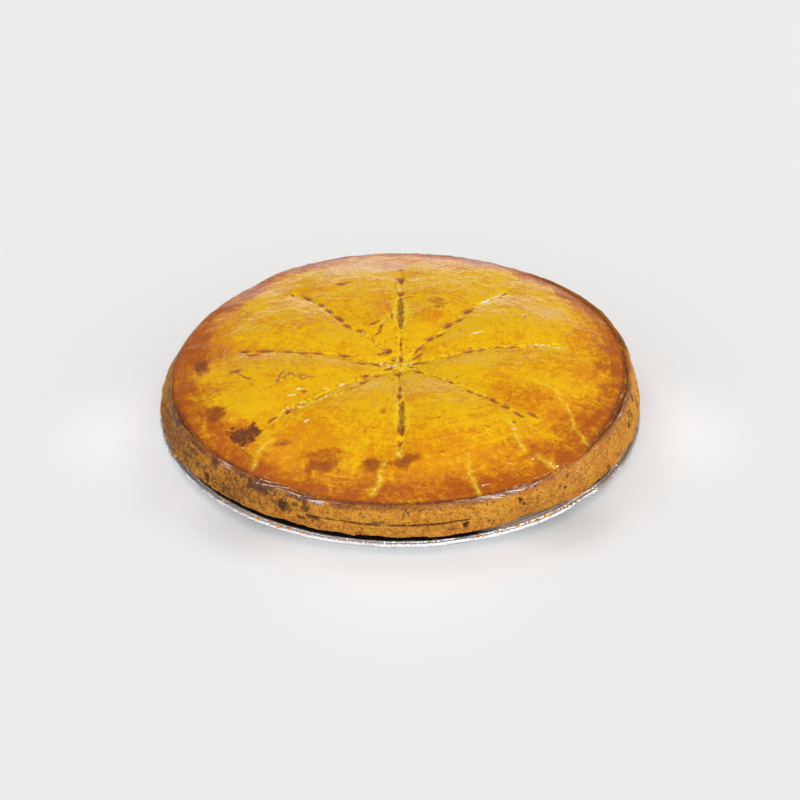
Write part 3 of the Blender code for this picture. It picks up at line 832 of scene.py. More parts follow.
def carve_slits(x, y, lid):
    """Relief and masks of the scored slits."""
    x, y = jagged(x, y, 3.0 * MM, 0.5 * MM, 61.0)
    relief = np.zeros(x.shape)
    level, gape, margin = np.full(x.shape, OUTSIDE), np.full(x.shape, OUTSIDE), np.zeros(x.shape)
    nearest = np.full(x.shape, np.inf)
    crumbly = 0.5 + 0.5 * rough(flat(x, y), 2.0 * MM, 3)
    slow = swell(flat(x, y), 7.0 * MM, 33.0)
    cuts = [(np.array(points) * MM, 0.5 * MM, 0.6 * MM) for points in SCARS]
    for index, slit in enumerate(SLITS):
        along, side = turned(x, y, *SLIT_CENTRE, slit.direction)
        nearest = np.where(along > 0.0, np.minimum(nearest, np.abs(side)), nearest)
        length = slit.length * MM
        run = smooth_step(1.0 * MM, 7.0 * MM, along)
        run *= smooth_fall(length - 5.0 * MM, length, along)
        off = side - slit_course(slit, along) - 0.4 * MM * slow
        relief -= run * bell(off, 5.0 * MM) * lid.slit_sag * (0.7 + 0.6 * crumbly)
        relief += run * bell(np.abs(off) - 2.4 * MM, 1.4 * MM) * 0.3 * MM * (crumbly - 0.4)
        relief -= run * bell(off, 0.8 * MM) * lid.slit_depth
        margin = np.maximum(margin, run * bell(off, 3.4 * MM))
        angle = math.radians(slit.direction)
        outward = np.array((math.cos(angle), math.sin(angle)))
        aside = np.array((-math.sin(angle), math.cos(angle)))
        steps = np.arange(slit.line[0], slit.line[1] + 1.0, 2.0) * MM
        wiggle = slit_course(slit, steps) + 0.35 * MM * np.sin(steps / (1.7 * MM) + index)
        course = SLIT_CENTRE + steps[:, None] * outward + wiggle[:, None] * aside
        cuts.append((course, lid.cut_width, 5.0 * MM))
        for out, beside, long, wide in slit.dashes:
            long, wide = lid.dash_scale * long * MM, lid.dash_scale * wide * MM
            mark = hole_level(np.hypot((along - out * MM) / long, (side - beside * MM) / wide))
            level = np.maximum(level, mark)
            inner = smooth_step(-0.15, 0.45, mark + 0.4 * (crumbly - 0.5))
            relief -= inner * lid.dash_depth * min(1.0, 0.5 * wide / MM)
        for number, start, end, beside, wide in GAPES:
            if number == index:
                middle, half = 0.5 * (start + end) * MM, 0.5 * (end - start) * MM
                taper = np.maximum(0.05, 1.0 - np.abs((along - middle) / half) ** 3.0)
                across = (side - beside * MM - 0.5 * MM * slow) / (wide * MM * taper**0.6)
                mark = np.clip(1.0 - np.abs(across) + 0.9 * (crumbly - 0.5), OUTSIDE, 1.0)
                mark = np.where(np.abs(along - middle) < half, mark, OUTSIDE)
                relief -= smooth_step(-0.2, 0.6, mark) * lid.gape_depth * (0.6 + 0.8 * crumbly)
                gape = np.maximum(gape, mark)
    for nick in NICKS:
        mark = hole_level(oval(x, y, *nick))
        relief -= 0.4 * smooth_step(-0.1, 0.5, mark) * lid.dash_depth
        level = np.maximum(level, mark)
    from_hub = np.hypot(x - SLIT_CENTRE[0] + 2.0 * MM, 1.3 * (y - SLIT_CENTRE[1]))
    middle = bell(from_hub, 13.0 * MM)
    relief += middle * (crumbly - 0.6) * 0.5 * MM
    margin = np.maximum(margin, middle)
    puff = smooth_step(3.0 * MM, 22.0 * MM, np.minimum(nearest, np.hypot(x, y - SLIT_CENTRE[1])))
    puff *= smooth_fall(70.0 * MM, 112.0 * MM, np.hypot(x, y))
    cut_off, cut_here = line_field(x, y, cuts, 4.0 * MM)
    masks = {"dash": level, "gape": gape, "margin": margin, "middle": middle}
    masks.update(cut_off=cut_off, cut_here=cut_here)
    return relief + lid.wedge_puff * puff, masks


def carve_cracks(x, y, lid):
    """Relief and masks of the pale stretch cracks and of the crumbly torn stretches."""
    lumps = rough(flat(x, y), 2.0 * MM, 2, lift=5.0)
    x, y = jagged(x, y, 5.0 * MM, 1.3 * MM, 5.0)
    narrow = [(np.array(points) * MM, half * MM, 3.0 * MM) for half, points in CRACKS]
    wide = [(np.array(points) * MM, half * MM, 6.0 * MM) for half, points in TORN]
    crack_off, crack_here = line_field(x, y, narrow, 5.0 * MM)
    torn_off, torn_here = line_field(x, y, wide, 7.0 * MM)
    opened = crack_here * bell(crack_off, 1.6)
    ragged = torn_here * smooth_fall(0.5, 1.3, np.abs(torn_off) + 0.5 * lumps)
    relief = ragged * (0.2 + 0.8 * lumps) * MM - opened * lid.crack_depth
    return relief, {"crack_off": crack_off, "crack_here": crack_here, "torn": ragged}


def raise_scars(x, y):
    """Relief and mask of the burst blisters, whose torn skin stands up inside the outline."""
    depth = np.maximum(outline_depth(x, y, SCARS[0]), outline_depth(x, y, SCARS[1]))
    inner = smooth_step(-0.2, 0.35, depth / (1.6 * MM))
    lumps = rough(flat(x, y), 1.8 * MM, 3, lift=9.0)
    return inner * (0.5 + 0.9 * lumps) * MM, inner


def browned(x, y, reach, lid):
    """How far the browning from the rim goes, from 0 to 1."""
    inward = lid.radius * (1.0 - reach) / round_the_edge(TOAST_REACH, np.degrees(np.arctan2(y, x)))
    return smooth_fall(0.0, 1.0, inward + 0.26 * rough(flat(x, y), 26.0 * MM, 4, lift=11.0))


def blotches(x, y, marks, ragged, inner, outer):
    """How strong some ragged patches are, full inside and 0 outside those shares of their size."""
    result = np.zeros(x.shape)
    for *mark, strength in marks:
        away = oval(x, y, *mark) + 0.35 * ragged
        result = np.maximum(result, strength * smooth_fall(inner, outer, away))
    return result


def ring_crease(x, y):
    """A faint round crease at the left, where the puffed middle meets the flat margin."""
    degrees = np.degrees(np.arctan2(y, x))
    ring = CREASE_RADIUS + 1.5 * MM * np.sin(np.radians(degrees * 3.0))
    return bell(np.hypot(x, y) - ring, 1.6 * MM) * lobe(degrees, *CREASE_RUN)


def painted_lip_gleam(degrees):
    """How strongly a white highlight is painted on the lip in each direction."""
    return sum(share * lobe(degrees, at, wide) for at, wide, share in PAINTED_LIP_GLEAMS)


def lid_surface(x, y, reach, lid):
    """Height of the lid's top at each place, and its masks."""
    degrees = np.degrees(np.arctan2(y, x))
    points = flat(x, y)
    height = lid.edge_height + round_the_edge(EDGE_LIFT, degrees) * smooth_step(0.3, 1.0, reach)
    height -= round_the_edge(EDGE_DROP, degrees) * smooth_step(0.72, 1.0, reach)
    height += lid.rise * (1.0 - np.minimum(reach, 1.0) ** lid.power)
    height -= lid.dip * bell(np.hypot(x - SLIT_CENTRE[0], y - SLIT_CENTRE[1]), lid.dip_radius)
    inside = smooth_fall(0.9, 1.0, reach)
    slits, masks = carve_slits(x, y, lid)
    cracks, more = carve_cracks(x, y, lid)
    masks.update(more)
    height += inside * slits
    height += inside * (1.1 * MM * swell(points, 42.0 * MM) + 0.35 * MM * swell(points, 15.0 * MM))
    scars, masks["scar"] = raise_scars(x, y)
    height += cracks + scars
    height += inside * 0.16 * MM * swell(points, 6.0 * MM, 21.0)
    height -= 0.45 * MM * ring_crease(x, y)
    opened = round_the_edge(GROOVE_OPEN, degrees)
    height += smooth_step(0.6, 1.0, reach) * (1.0 - opened) * 1.1 * MM
    height += smooth_step(0.955, 1.0, reach) * 0.15 * MM
    wider = 0.007 * lobe(degrees, 338.0, 14.0)
    masks["edge"] = smooth_step(0.978 - wider, 0.988 - wider, reach) * smooth_step(0.1, 0.5, opened)
    masks["toast"] = browned(x, y, reach, lid)
    aside = jagged(x, y, 8.0 * MM, 2.6 * MM, 25.0)
    masks["patch"] = blotches(*aside, PATCHES, rough(points, 6.0 * MM, 5, lift=15.0), 0.4, 2.0)
    ragged = rough(points, 16.0 * MM, 4, lift=27.0)
    masks["amber"] = blotches(x, y, AMBER, ragged, 0.2, 1.8)
    # Painted sheen
    masks["painted_haze"] = blotches(x, y, PAINTED_HAZES, ragged, 0.2, 1.8)
    # Painted highlights at the listed glints
    masks["painted_glint"] = np.max([hole_level(oval(x, y, *painted_glint)) for painted_glint in PAINTED_GLINTS], axis=0)
    masks["burn"] = np.clip(outline_depth(x, y, BURN) / (2.0 * MM), OUTSIDE, -OUTSIDE)
    # Painted highlight streaks along the lid's edge
    masks["painted_gleam"] = painted_lip_gleam(degrees) * smooth_step(0.965, 0.985, reach)
    return height, masks


def make_lid(lid):
    """The glazed lid: a closed plate with a puffed, scored top."""
    ring_count = round(lid.radius / LID_RING_GAP)
    rows = [i / ring_count for i in range(ring_count)]
    fine = 1.0 - rows[-1]
    rows += [rows[-1] + fine * t for t in (0.25, 0.5, 0.75, 1.0)]
    spots, reaches, counts = [], [], []
    for row in rows:
        step = 1
        while step < FEWEST_COLUMNS and row * lid.radius < FULL_COLUMNS / step:
            step *= 2
        column = np.arange(0, LID_COLUMNS, step) if row > 0.0 else np.array([0])
        turn = lid_directions(column, np.full(column.shape, row * lid.radius))
        spots.append(SLIT_CENTRE + (lid_edge(turn, lid.radius) - SLIT_CENTRE) * row)
        reaches.append(np.full(column.shape, row))
        counts.append(len(column))
    x, y = np.concatenate(spots).T
    height, masks = lid_surface(x, y, np.concatenate(reaches), lid)
    points = np.stack((x, y, height), -1)
    edge = points[-counts[-1]:]
    floor = lid.edge_height - LID_DEPTH
    for inset, drop in ((0.0, 0.5), (0.02, 1.0), (0.5, 1.0)):
        ring = edge * (1.0 - inset)
        ring[:, 2] = edge[:, 2] * (1.0 - drop) + floor * drop
        points = np.concatenate((points, ring))
        counts.append(len(ring))
    points = np.concatenate((points, [(0.0, 0.0, floor)]))
    counts.append(1)
    under = np.zeros(len(points) - len(x))
    spare = dict.fromkeys(("dash", "gape", "painted_glint", "burn"), under + OUTSIDE)
    spare["toast"] = under + 1.0
    masks = {key: np.concatenate((value, spare.get(key, under))) for key, value in masks.items()}
    return mesh_piece("pie_lid", points, ring_faces(numbered(counts)), glazed_crust(lid), masks)


def glazed_crust(lid):
    """Egg-washed pastry: gold to amber to brown, with brush strokes, pores and crumbly cuts."""
    recipe = Recipe("glazed_crust", Specular_IOR_Level=0.5)
    margin, scar, torn, toast, patch = recipe.masks("margin", "scar", "torn", "toast", "patch")
    cloud = recipe.swing(0.030, 4.0, 0.6)
    mottle = recipe.swing(0.0100, 4.0, 0.65, distortion=0.9)
    fine = recipe.swing(0.0040, 3.0, 0.6, distortion=0.6)
    speck = recipe.swing(0.0019, 2.0, 0.6)
    grit = recipe.grains(0.0012)
    stroke = streaks(recipe, (0.0, 0.0), 3.0, 0.0017)
    fan = streaks(recipe, SLIT_CENTRE, 40.0, 0.016)
    rings = streaks(recipe, (0.0, 0.0), 8.0, 0.0009)
    ragged = speck * 0.35 + grit * 0.25
    fibres = recipe.swing(0.0016, 2.0, 0.7, place=recipe.place * (1.0, 0.3, 1.0))

    dash_level = recipe.mask("dash") + ragged * 0.5
    dash = dash_level.rise(-0.2, 0.45)
    dash_rim = dash_level.rise(-0.75, 0.1)
    deepest = (dash_level - ragged).rise(0.3, 0.85)
    gape = (recipe.mask("gape") + ragged * 0.9 + fibres * 0.35).rise(-0.1, 0.5)
    cut_near = recipe.mask("cut_off").size() + ragged * 2.0
    cut = recipe.mask("cut_here") * (1.0 - cut_near.rise(0.2, 1.6)) * (fine * 0.9 + 0.6).held()
    crack_near = recipe.mask("crack_off").size() + ragged * 1.2 + fine * 0.5
    crack_here = recipe.mask("crack_here")
    crack = crack_here * (1.0 - crack_near.rise(0.1, 1.25))
    crack = crack * (fine * -0.8 + grit * 0.5 + 0.7).held()
    crack_glow = crack_here * (1.0 - crack_near.rise(0.6, 6.5))
    crumbs = recipe.mask("middle").larger(torn)
    burn = recipe.mask("burn") + ragged * 0.9 + fine * 0.3

    uneven = cloud * 0.24 + mottle * 0.16 + fine * 0.14 + speck * 0.2
    uneven = uneven + grit * 0.1 + stroke * 0.17 + fan * 0.16
    warm = uneven + 0.25 + toast * 0.75 + recipe.mask("amber") * 0.62 - margin * 0.35
    brown = toast + mottle * 0.18 + cloud * 0.12 + stroke * 0.08 + speck * 0.1 + fine * 0.08
    freckle = speck * 0.5 + grit * 0.3 + mottle * 0.4 + fine * 0.3
    spotted = patch * 1.25 + freckle * 0.2
    charred = (burn + freckle * 0.3).rise(-0.3, 0.8) * (0.9 + speck * 0.2 + grit * 0.2)
    ashen = burn.rise(0.2, 0.8) * (grit * 0.5 - speck * 0.4).rise(0.2, 1.0)
    rimmed = recipe.mask("edge") * (0.8 + speck * 0.4 + stroke * 0.3).held()
    pores = (1.0 - recipe.cells(0.0050).rise(0.05, 0.2)) * recipe.grain(0.015, 3.0).rise(0.45, 0.6)
    strewn = margin.larger(crumbs)
    sown = strewn.rise(0.1, 0.6)
    cut = cut * (1.0 - crumbs * 0.6)
    dots = recipe.grains(0.0017) + speck * 0.3
    gaps = dots * -1.0
    baked_scar = scar.rise(0.05, 0.5) * (grit * 0.6 + speck * 0.5 + 0.35).rise(0.2, 0.9)
    # Painted sheen, streaky like the glaze
    hazy_sheen = recipe.mask("painted_haze") * (0.9 + stroke * 0.35 + fine * 0.15 + mottle * 0.2).held()

    # Painted highlights: glints at the listed places, loose white dots, white dots along the cracks
    # and white streaks along the rim, all laid on in the glint colour
    painted_spark = (recipe.mask("painted_glint") + ragged * 1.6).rise(-0.1, 0.6)
    loose = (crumbs * 0.3 + strewn * 0.15 + dots * 0.5 + grit * 0.1).rise(0.78, 0.9)
    painted_crack_glints = crack_here * (ragged * 1.6 + 0.3 - crack_near * 0.5).rise(0.6, 1.1)
    painted_gleam = (recipe.mask("painted_gleam") * 0.5 + rings * 0.55 + grit * 0.1).rise(0.75, 1.05)
    painted_gleam = painted_gleam * recipe.mask("painted_gleam").rise(0.1, 0.5)
    bright = painted_spark.larger(loose * 0.9).larger(painted_crack_glints * 0.7).larger(painted_gleam)
    colour = recipe.layers(
        lid.gold,
        (lid.amber, warm.rise(0.0, 1.0)),
        (lid.butter, (margin * 1.1 + ragged * 0.6).rise(0.4, 1.2) * 0.7),
        (lid.toast, brown.rise(0.32, 1.15)),
        (lid.inside, toast * (speck * 0.5 + grit * 0.3 + fine * 0.4).rise(0.5, 1.1) * 0.55),
        (lid.toast, spotted.rise(0.2, 1.0) * 0.85),
        (lid.char, spotted.rise(0.75, 1.5) * 0.7),
        (lid.toast, burn.rise(-0.9, 0.4) * 0.85),
        (lid.char, charred),
        (lid.olive, ashen * 0.4),
        (lid.char, rimmed * 0.85),
        (lid.inside, pores * 0.5),
        (lid.butter, (crack_glow * 0.4).larger(torn * 0.75)),
        (lid.crumb, crack * 0.85),
        (lid.butter, (crumbs + grit * 0.2).rise(0.2, 0.6) * 0.8),
        (lid.amber, sown * gaps.rise(0.0, 0.5) * 0.4),
        (lid.inside, sown * gaps.rise(0.4, 0.75) * 0.45),
        (lid.amber, torn * gaps.rise(-0.5, 0.1) * 0.5),
        (lid.inside, baked_scar * 0.8),
        (lid.butter, recipe.mask("gape").rise(-1.3, -0.7) * 0.7),
        (lid.olive, gape * 0.9),
        (lid.umber, gape * (fibres * -0.7 - grit * 0.5).rise(0.0, 0.8) * 0.85),
        (lid.butter, gape * (fibres * 0.7 + grit * 0.4).rise(0.25, 1.0) * 0.6),
        (lid.toast, dash_rim * 0.55),
        (lid.inside, dash.larger(cut * 0.85) * (0.85 + ragged * 0.3)),
        (lid.umber, deepest * 0.5),
        (lid.painted_haze, hazy_sheen),
        (lid.painted_glint, bright * 0.85),
    )
    recipe.feed("Base Color", colour)

    rough_cut = dash.larger(gape * 0.7).larger(torn * 0.4).larger(crack * 0.5)
    rough_cut = rough_cut.larger(scar * 0.7).held()
    roughness = 0.18 + mottle * 0.04 + stroke * 0.04 + speck * 0.03 + rough_cut * 0.5 + toast * 0.06
    recipe.feed("Roughness", roughness.larger(0.1))
    blisters = recipe.cells(0.0075, "SMOOTH_F1").rise(0.1, 0.5) * (cloud * 0.1 + 0.4)
    beaded = (margin * 1.2 + cloud * 0.12 - 0.1).rise(0.5, 0.9)
    beads = (1.0 - recipe.cells(0.0029).rise(0.08, 0.34)) * beaded
    sunken = pores.larger(cut * 0.5).larger(dash * 0.8).larger(crack * 0.1)
    recipe.emboss(
        (stroke + fan * 0.8, 0.00003),
        (mottle + fine * 0.8 + speck * 0.3, 0.00005),
        ((speck + grit * 0.7) * rough_cut, 0.00045),
        (blisters * -1.0, 0.00015),
        (beads - sunken, 0.00035),
    )
    return recipe.material


def streaks(recipe, centre, turns, gap):
    """Fine bent streaks round a centre: so many a radian, and so many metres apart outwards."""
    waves = {"Vector": recipe.place, "Scale": 28.0, "Detail": 1.0}
    bent = recipe.node("ShaderNodeTexNoise", {}, waves, "Color")
    centred = recipe.vector("SUBTRACT", {0: bent, 1: (0.5, 0.5, 0.5)})
    place = recipe.place + recipe.vector("SCALE", {0: centred, "Scale": 0.012})
    split = recipe.node("ShaderNodeSeparateXYZ", {}, {"Vector": place}, "X")
    across = split - float(centre[0])
    ahead = Signal(recipe, split.socket.node.outputs["Y"]) - float(centre[1])
    radius = (across * across + ahead * ahead + 1e-6) ** 0.5
    sockets = {"X": across / radius * turns, "Y": ahead / radius * turns, "Z": radius / gap}
    polar = recipe.node("ShaderNodeCombineXYZ", {}, sockets)
    return recipe.swing(1.0, 3.0, 0.6, place=polar)


# ---------------------------------------------------------------------------
# Wall
# ---------------------------------------------------------------------------

WALL_COLUMNS = 900
# The wall's half section in millimetres from the middle: inside the groove, then over the lip
GROOVE_CURVE = ((0, 23.4), (60, 23.4), (118, 23.4), (121.6, 24), (123.2, 25.6), (124.2, 27))
LIP_CURVE = (
    (124.75, 28), (125.1, 28.6), (125.6, 29), (126.1, 29.12), (126.6, 28.95), (127, 28.5),
    (127.35, 27.9),
)
# How it turns in at its lower edge: how far in from the bulge and how far above that edge
TURN_IN = ((0, 2.8), (0.05, 2.1), (0.2, 1.4), (0.5, 0.8), (1.1, 0.3), (2.2, 0), (3.6, -0.3))
# Inside this radius nothing of the wall shows, and it stays smooth
WALL_INSIDE = 110.0 * MM
# Where the wall is rugged, where its lip is broken, where the seam shows and where the lower edge
# hangs down, and where the left is rugged too: from, to and softness of the ends in degrees
RUGGED_RUN = (291.0, 350.0, 9.0)
BROKEN_RUN = (306.0, 325.0, 3.0)
SEAM_RUN = (248.0, 286.5, 2.0)
HANGING_RUN = (288.0, 320.0, 6.0)
LEFT_RUGGED_RUN = (165.0, 236.0, 9.0)


def wall_profile(wall):
    """The wall's half section, from inside the groove out over the lip and down to the foot."""
    floor = TRAY_LOW[2] + 0.9 * MM
    profile = [(radius * MM, height * MM) for radius, height in GROOVE_CURVE + LIP_CURVE]
    steps = 26
    for i in range(steps + 1):
        t = i / steps
        out = math.sin(t * math.pi / 2.0)
        radius = wall.shoulder_radius + (wall.bulge_radius - wall.shoulder_radius) * out
        height = wall.shoulder_height + (wall.bulge_height - wall.shoulder_height) * t
        profile.append((radius, height))
    low = wall.low_edge
    profile += [(wall.bulge_radius - inset * MM, low + above * MM) for inset, above in TURN_IN]
    profile += [
        (wall.waist_radius + 1.6 * MM, low - 0.9 * MM),
        (wall.waist_radius + 0.6 * MM, low - 1.9 * MM),
        (wall.waist_radius, low - 3.2 * MM),
        (wall.foot_radius + 5.2 * MM, floor + 3.0 * MM),
        (wall.foot_radius + 2.6 * MM, floor + 0.8 * MM),
        (wall.foot_radius, floor),
        (0.5 * wall.foot_radius, floor),
        (0.0, floor),
    ]
    return profile


def make_wall(wall):
    """The pie's wall, lip and foot: one closed body under the lid."""
    radius, height, angle, rings = turned_profile(wall_profile(wall), WALL_COLUMNS)
    degrees = np.degrees(angle)
    outward = np.stack((np.cos(np.radians(degrees)), np.sin(np.radians(degrees))), -1)
    points = np.concatenate((outward * wall.bulge_radius, height[:, None]), -1)

    high = smooth_step(wall.bulge_height, wall.shoulder_height, height)
    above = smooth_step(wall.low_edge - 1.2 * MM, wall.low_edge - 0.5 * MM, height)
    push = round_the_edge(EDGE_PUSH, degrees)
    lift = round_the_edge(EDGE_LIFT - EDGE_DROP, degrees)
    outer = radius > WALL_INSIDE
    coarse = swell(points, 14.0 * MM)
    medium = swell(points, 6.0 * MM)
    crumbs = rough(points, 2.6 * MM, 4, lift=2.0)
    chips = smooth_step(0.42, 0.85, rough(points, 7.0 * MM, 3, lift=6.0))

    rugged = between(degrees, *RUGGED_RUN)
    broken = between(degrees, *BROKEN_RUN)
    relief = 0.5 * MM * coarse + 0.35 * MM * medium + 0.34 * MM * crumbs
    relief += rugged * 0.55 * MM * rough(points, 4.6 * MM, 3, lift=9.0)
    relief -= 0.9 * MM * chips * (1.0 - 0.6 * high)
    seam_run = between(degrees, *SEAM_RUN)
    wave = 0.5 * MM * np.cos(np.radians((degrees - 252.0) * 9.0))
    seam_line = wall.seam_height + wave + 0.3 * MM * medium
    seam = seam_run * bell(height - seam_line, 0.5 * MM * (1.0 + 0.6 * coarse))
    relief -= 1.1 * MM * seam
    relief += 0.5 * MM * seam_run * smooth_step(0.0, 1.5 * MM, seam_line - height)

    def away_from(direction, middle_height, half_width, half_height):
        across = np.radians(angle_between(degrees, direction)) * wall.bulge_radius
        up = height - middle_height * MM
        return np.hypot(across / (half_width * MM), up / (half_height * MM))

    pits = np.zeros(radius.shape)
    for direction, pit_height, size, depth in WALL_PITS:
        away = away_from(direction, pit_height, size, 1.7 * size) + 0.6 * crumbs
        pit = smooth_fall(0.6, 1.3, away)
        relief -= depth * MM * pit
        pits = np.maximum(pits, pit)
    stains = np.zeros(radius.shape)
    for *mark, strength in WALL_STAINS:
        away = away_from(*mark) + 0.7 * crumbs + 0.5 * medium
        stains = np.maximum(stains, strength * smooth_fall(0.4, 1.6, away))

    burnt = np.zeros(radius.shape)
    top = wall.lip_height - height + 0.9 * MM * crumbs
    on_lip = smooth_fall(126.2 * MM, 127.2 * MM, radius)
    for place, spread_out, reach, share in GLAZE_RUNS:
        run = lobe(degrees, place, spread_out) * (1.0 - on_lip * (1.0 - share))
        run *= smooth_fall(0.4 * reach * MM, 1.3 * reach * MM, top)
        burnt = np.maximum(burnt, run)

    lip = smooth_step(wall.shoulder_height - 0.8 * MM, wall.shoulder_height + 0.6 * MM, height)
    lip = lip * (1.0 - 0.5 * broken)
    calm = 1.0 - 0.72 * lip
    low_edge_wave = above * smooth_fall(wall.low_edge, wall.bulge_height, height)
    lower = round_the_edge(LOW_PUSH, degrees) * smooth_fall(11.0 * MM, 22.0 * MM, height)
    shaped = radius + outer * above * (push * (0.1 + 0.9 * high) + lower + calm * relief)
    shaped = np.minimum(shaped, TRAY_HIGH[0] - 0.6 * MM)
    squeezed = np.stack((points[:, 0] * 0.15, points[:, 1] * 0.15, radius), -1)
    layered = 0.35 * MM * lip * rough(squeezed, 1.1 * MM, 3)
    raised = height + outer * high * lift + outer * layered
    raised -= outer * lip * broken * 0.8 * MM * (0.5 + crumbs)
    raised += outer * low_edge_wave * 0.7 * MM * swell(points, 9.0 * MM, 12.0)
    raised -= outer * low_edge_wave * 0.9 * MM * between(degrees, *HANGING_RUN)
    points = np.concatenate((outward * shaped[:, None], raised[:, None]), -1)
    depth = wall.lip_height - height
    out_of_groove = smooth_step(wall.shoulder_height + 0.2 * MM, wall.lip_height - 0.2 * MM, height)
    masks = {
        "lip": lip,
        "seam": seam,
        "pit": pits,
        "stain": stains,
        "chip": chips,
        "broken": broken * high,
        "rugged": np.maximum(rugged, 0.8 * between(degrees, *LEFT_RUGGED_RUN)),
        "burnt": burnt,
        # Where white highlights are painted on the lip
        "painted_gleam": painted_lip_gleam(degrees) * smooth_fall(0.6 * MM, 2.6 * MM, depth),
        "sheen": lip * lobe(degrees, 95.0, 50.0),
        "low": smooth_fall(10.0 * MM, 20.0 * MM, height),
        "groove": (1.0 - out_of_groove) * (radius < wall.lip_radius - 0.4 * MM),
    }
    return mesh_piece("pie_wall", points, ring_faces(rings), baked_wall(wall), masks)


def baked_wall(wall):
    """Baked sandy pastry: pits darkened with painted shade, upright cracks, burnt glaze, painted
    highlights.
    """
    recipe = Recipe("baked_wall", Specular_IOR_Level=0.28)
    lip, seam, pit, stain, chip = recipe.masks("lip", "seam", "pit", "stain", "chip")
    burnt, groove, broken, rugged = recipe.masks("burnt", "groove", "broken", "rugged")
    cloud = recipe.swing(0.014, 3.0, 0.6)
    speck = recipe.swing(0.0040, 3.0, 0.7, distortion=0.8)
    sand = recipe.swing(0.0017, 3.0, 0.75)
    grit = recipe.grains(0.0011)
    tiny = recipe.grains(0.0007)
    gaps = recipe.cells(0.0011)
    squeezed = recipe.place * (1.0, 1.0, 0.35)
    upright = recipe.swing(0.0034, 3.0, 0.7, place=squeezed, distortion=0.9)
    sandy = sand * 0.5 + grit * 0.6 + tiny * 0.55

    warmer = cloud * 0.2 + speck * 0.25 + sandy * 0.3 + recipe.mask("low") * 0.3
    shaded = (gaps * 0.8 - sandy * 0.5 + speck * 0.15).rise(0.6, 1.4)
    holes = (speck * -0.55 - sandy * 0.35 + cloud * 0.2).rise(0.85, 1.25) * (1.0 - lip * 0.6)
    cracks = (upright * -0.6 - sandy * 0.3).rise(0.8, 1.2) * (1.0 - lip)
    streak = recipe.swing(0.010, 3.0, 0.65, distortion=0.5)
    layers = streaks(recipe, (0.0, 0.0), 9.0, 0.0007)
    glazed = (burnt * 1.2 + streak * 0.25 + sandy * 0.5).rise(0.35, 0.95) * burnt.rise(0.03, 0.2)
    lip_tone = (streak * 0.3 + layers * 0.25 + sandy * 0.25 + 0.7 - broken * 0.5).held()
    # Painted highlights: white streaks along the lip
    painted_gleam = (recipe.mask("painted_gleam") * 0.75 + layers * 0.7 + sandy * 0.3).rise(0.75, 1.15)
    painted_gleam = painted_gleam * recipe.mask("painted_gleam").rise(0.0, 0.3)
    # Painted sheen: lilac shine on the burnt glaze near the lip's painted highlights
    painted_sheen = glazed * (sandy * 0.8 + streak * 0.4).rise(0.6, 1.2)
    painted_sheen = painted_sheen * recipe.mask("painted_gleam").rise(-0.3, 0.3) * 0.5
    # Painted highlights: white glints on the broken stretch of the lip
    painted_white_bits = broken * (tiny * 0.7 + grit * 0.4).rise(0.75, 0.95)
    split = (seam + sandy * 0.15).rise(0.15, 0.6) * (cloud * 0.4 + speck * 0.5 + 0.9).held()
    # Painted shade: dark colour in the seam's split, in the pits and in the groove inside the lip
    opened = split.larger(pit.rise(0.2, 0.75)).larger(groove.rise(0.3, 0.8))
    colour = recipe.layers(
        wall.ochre,
        (wall.rust, (warmer + 0.32).rise(0.0, 1.0)),
        (wall.pale, (sandy * 0.9 - speck * 0.1).rise(0.2, 1.0) * 0.95),
        (wall.shade, (sandy * -0.9 + speck * 0.2).rise(0.3, 1.1) * 0.8),
        (wall.dark, shaded * (0.36 + cloud * 0.3).held()),
        (wall.shade, (speck * 0.5 - sandy * 0.4 + cloud * 0.25).rise(0.5, 1.3) * 0.5),
        (wall.pale, (speck * -0.5 + tiny * 0.6).rise(0.5, 1.1) * 0.5),
        (wall.rust, rugged * (speck * 0.6 + cloud * 0.5).rise(0.0, 0.9) * 0.7),
        (wall.rust, rugged * (speck * -0.9 - sandy * 0.2).rise(0.1, 0.8) * 0.6),
        (wall.shade, rugged * (speck * -0.9 - sandy * 0.4).rise(0.25, 0.9) * 0.6),
        (wall.pale, rugged * (speck * 0.6 + sandy * 0.4).rise(0.3, 1.0) * 0.5),
        (wall.dark, (holes * 0.75).larger(cracks * 0.5)),
        (wall.dark, (chip * 0.5 - sandy * 0.4).rise(0.35, 0.8) * 0.5),
        (wall.glaze, glazed * 0.9),
        (wall.rim, lip * lip_tone * (1.0 - glazed)),
        (wall.glaze, lip * (layers * -1.0).rise(0.5, 1.1) * 0.45),
        (wall.lilac_sheen, painted_sheen * 0.8),
        # Painted highlights on the lip
        (wall.gloss, painted_gleam.larger(painted_white_bits) * 0.9),
        (wall.glaze, (stain + sandy * 0.4).rise(0.35, 0.95) * 0.8),
        (wall.dark, opened * 0.9),
    )
    recipe.feed("Base Color", colour)
    shine = lip.larger(glazed)
    dulled = 0.85 - shine * 0.4 - recipe.mask("sheen") * 0.2 + layers * 0.05 * lip
    recipe.feed("Roughness", dulled.held())
    dry = 1.0 - lip * 0.3
    loosened = (gaps * -0.8 + tiny * 0.15) * dry * (speck * 0.4 + 0.7).held()
    recipe.emboss(
        (loosened, 0.0010),
        ((sand + speck * 1.4) * dry, 0.00022),
        (layers * lip, 0.00012),
        (holes.larger(cracks) * -1.0, 0.0006),
        strength=0.95,
    )
    return recipe.material


# ---------------------------------------------------------------------------
# Foil tray
# ---------------------------------------------------------------------------

TRAY_COLUMNS = 720
# Kinks of the rim: direction in degrees, how far it is bent in, in millimetres
RIM_KINKS = ((52, 0.9), (150, 1), (262, 0.8), (284, 1.1), (315, 1.4))
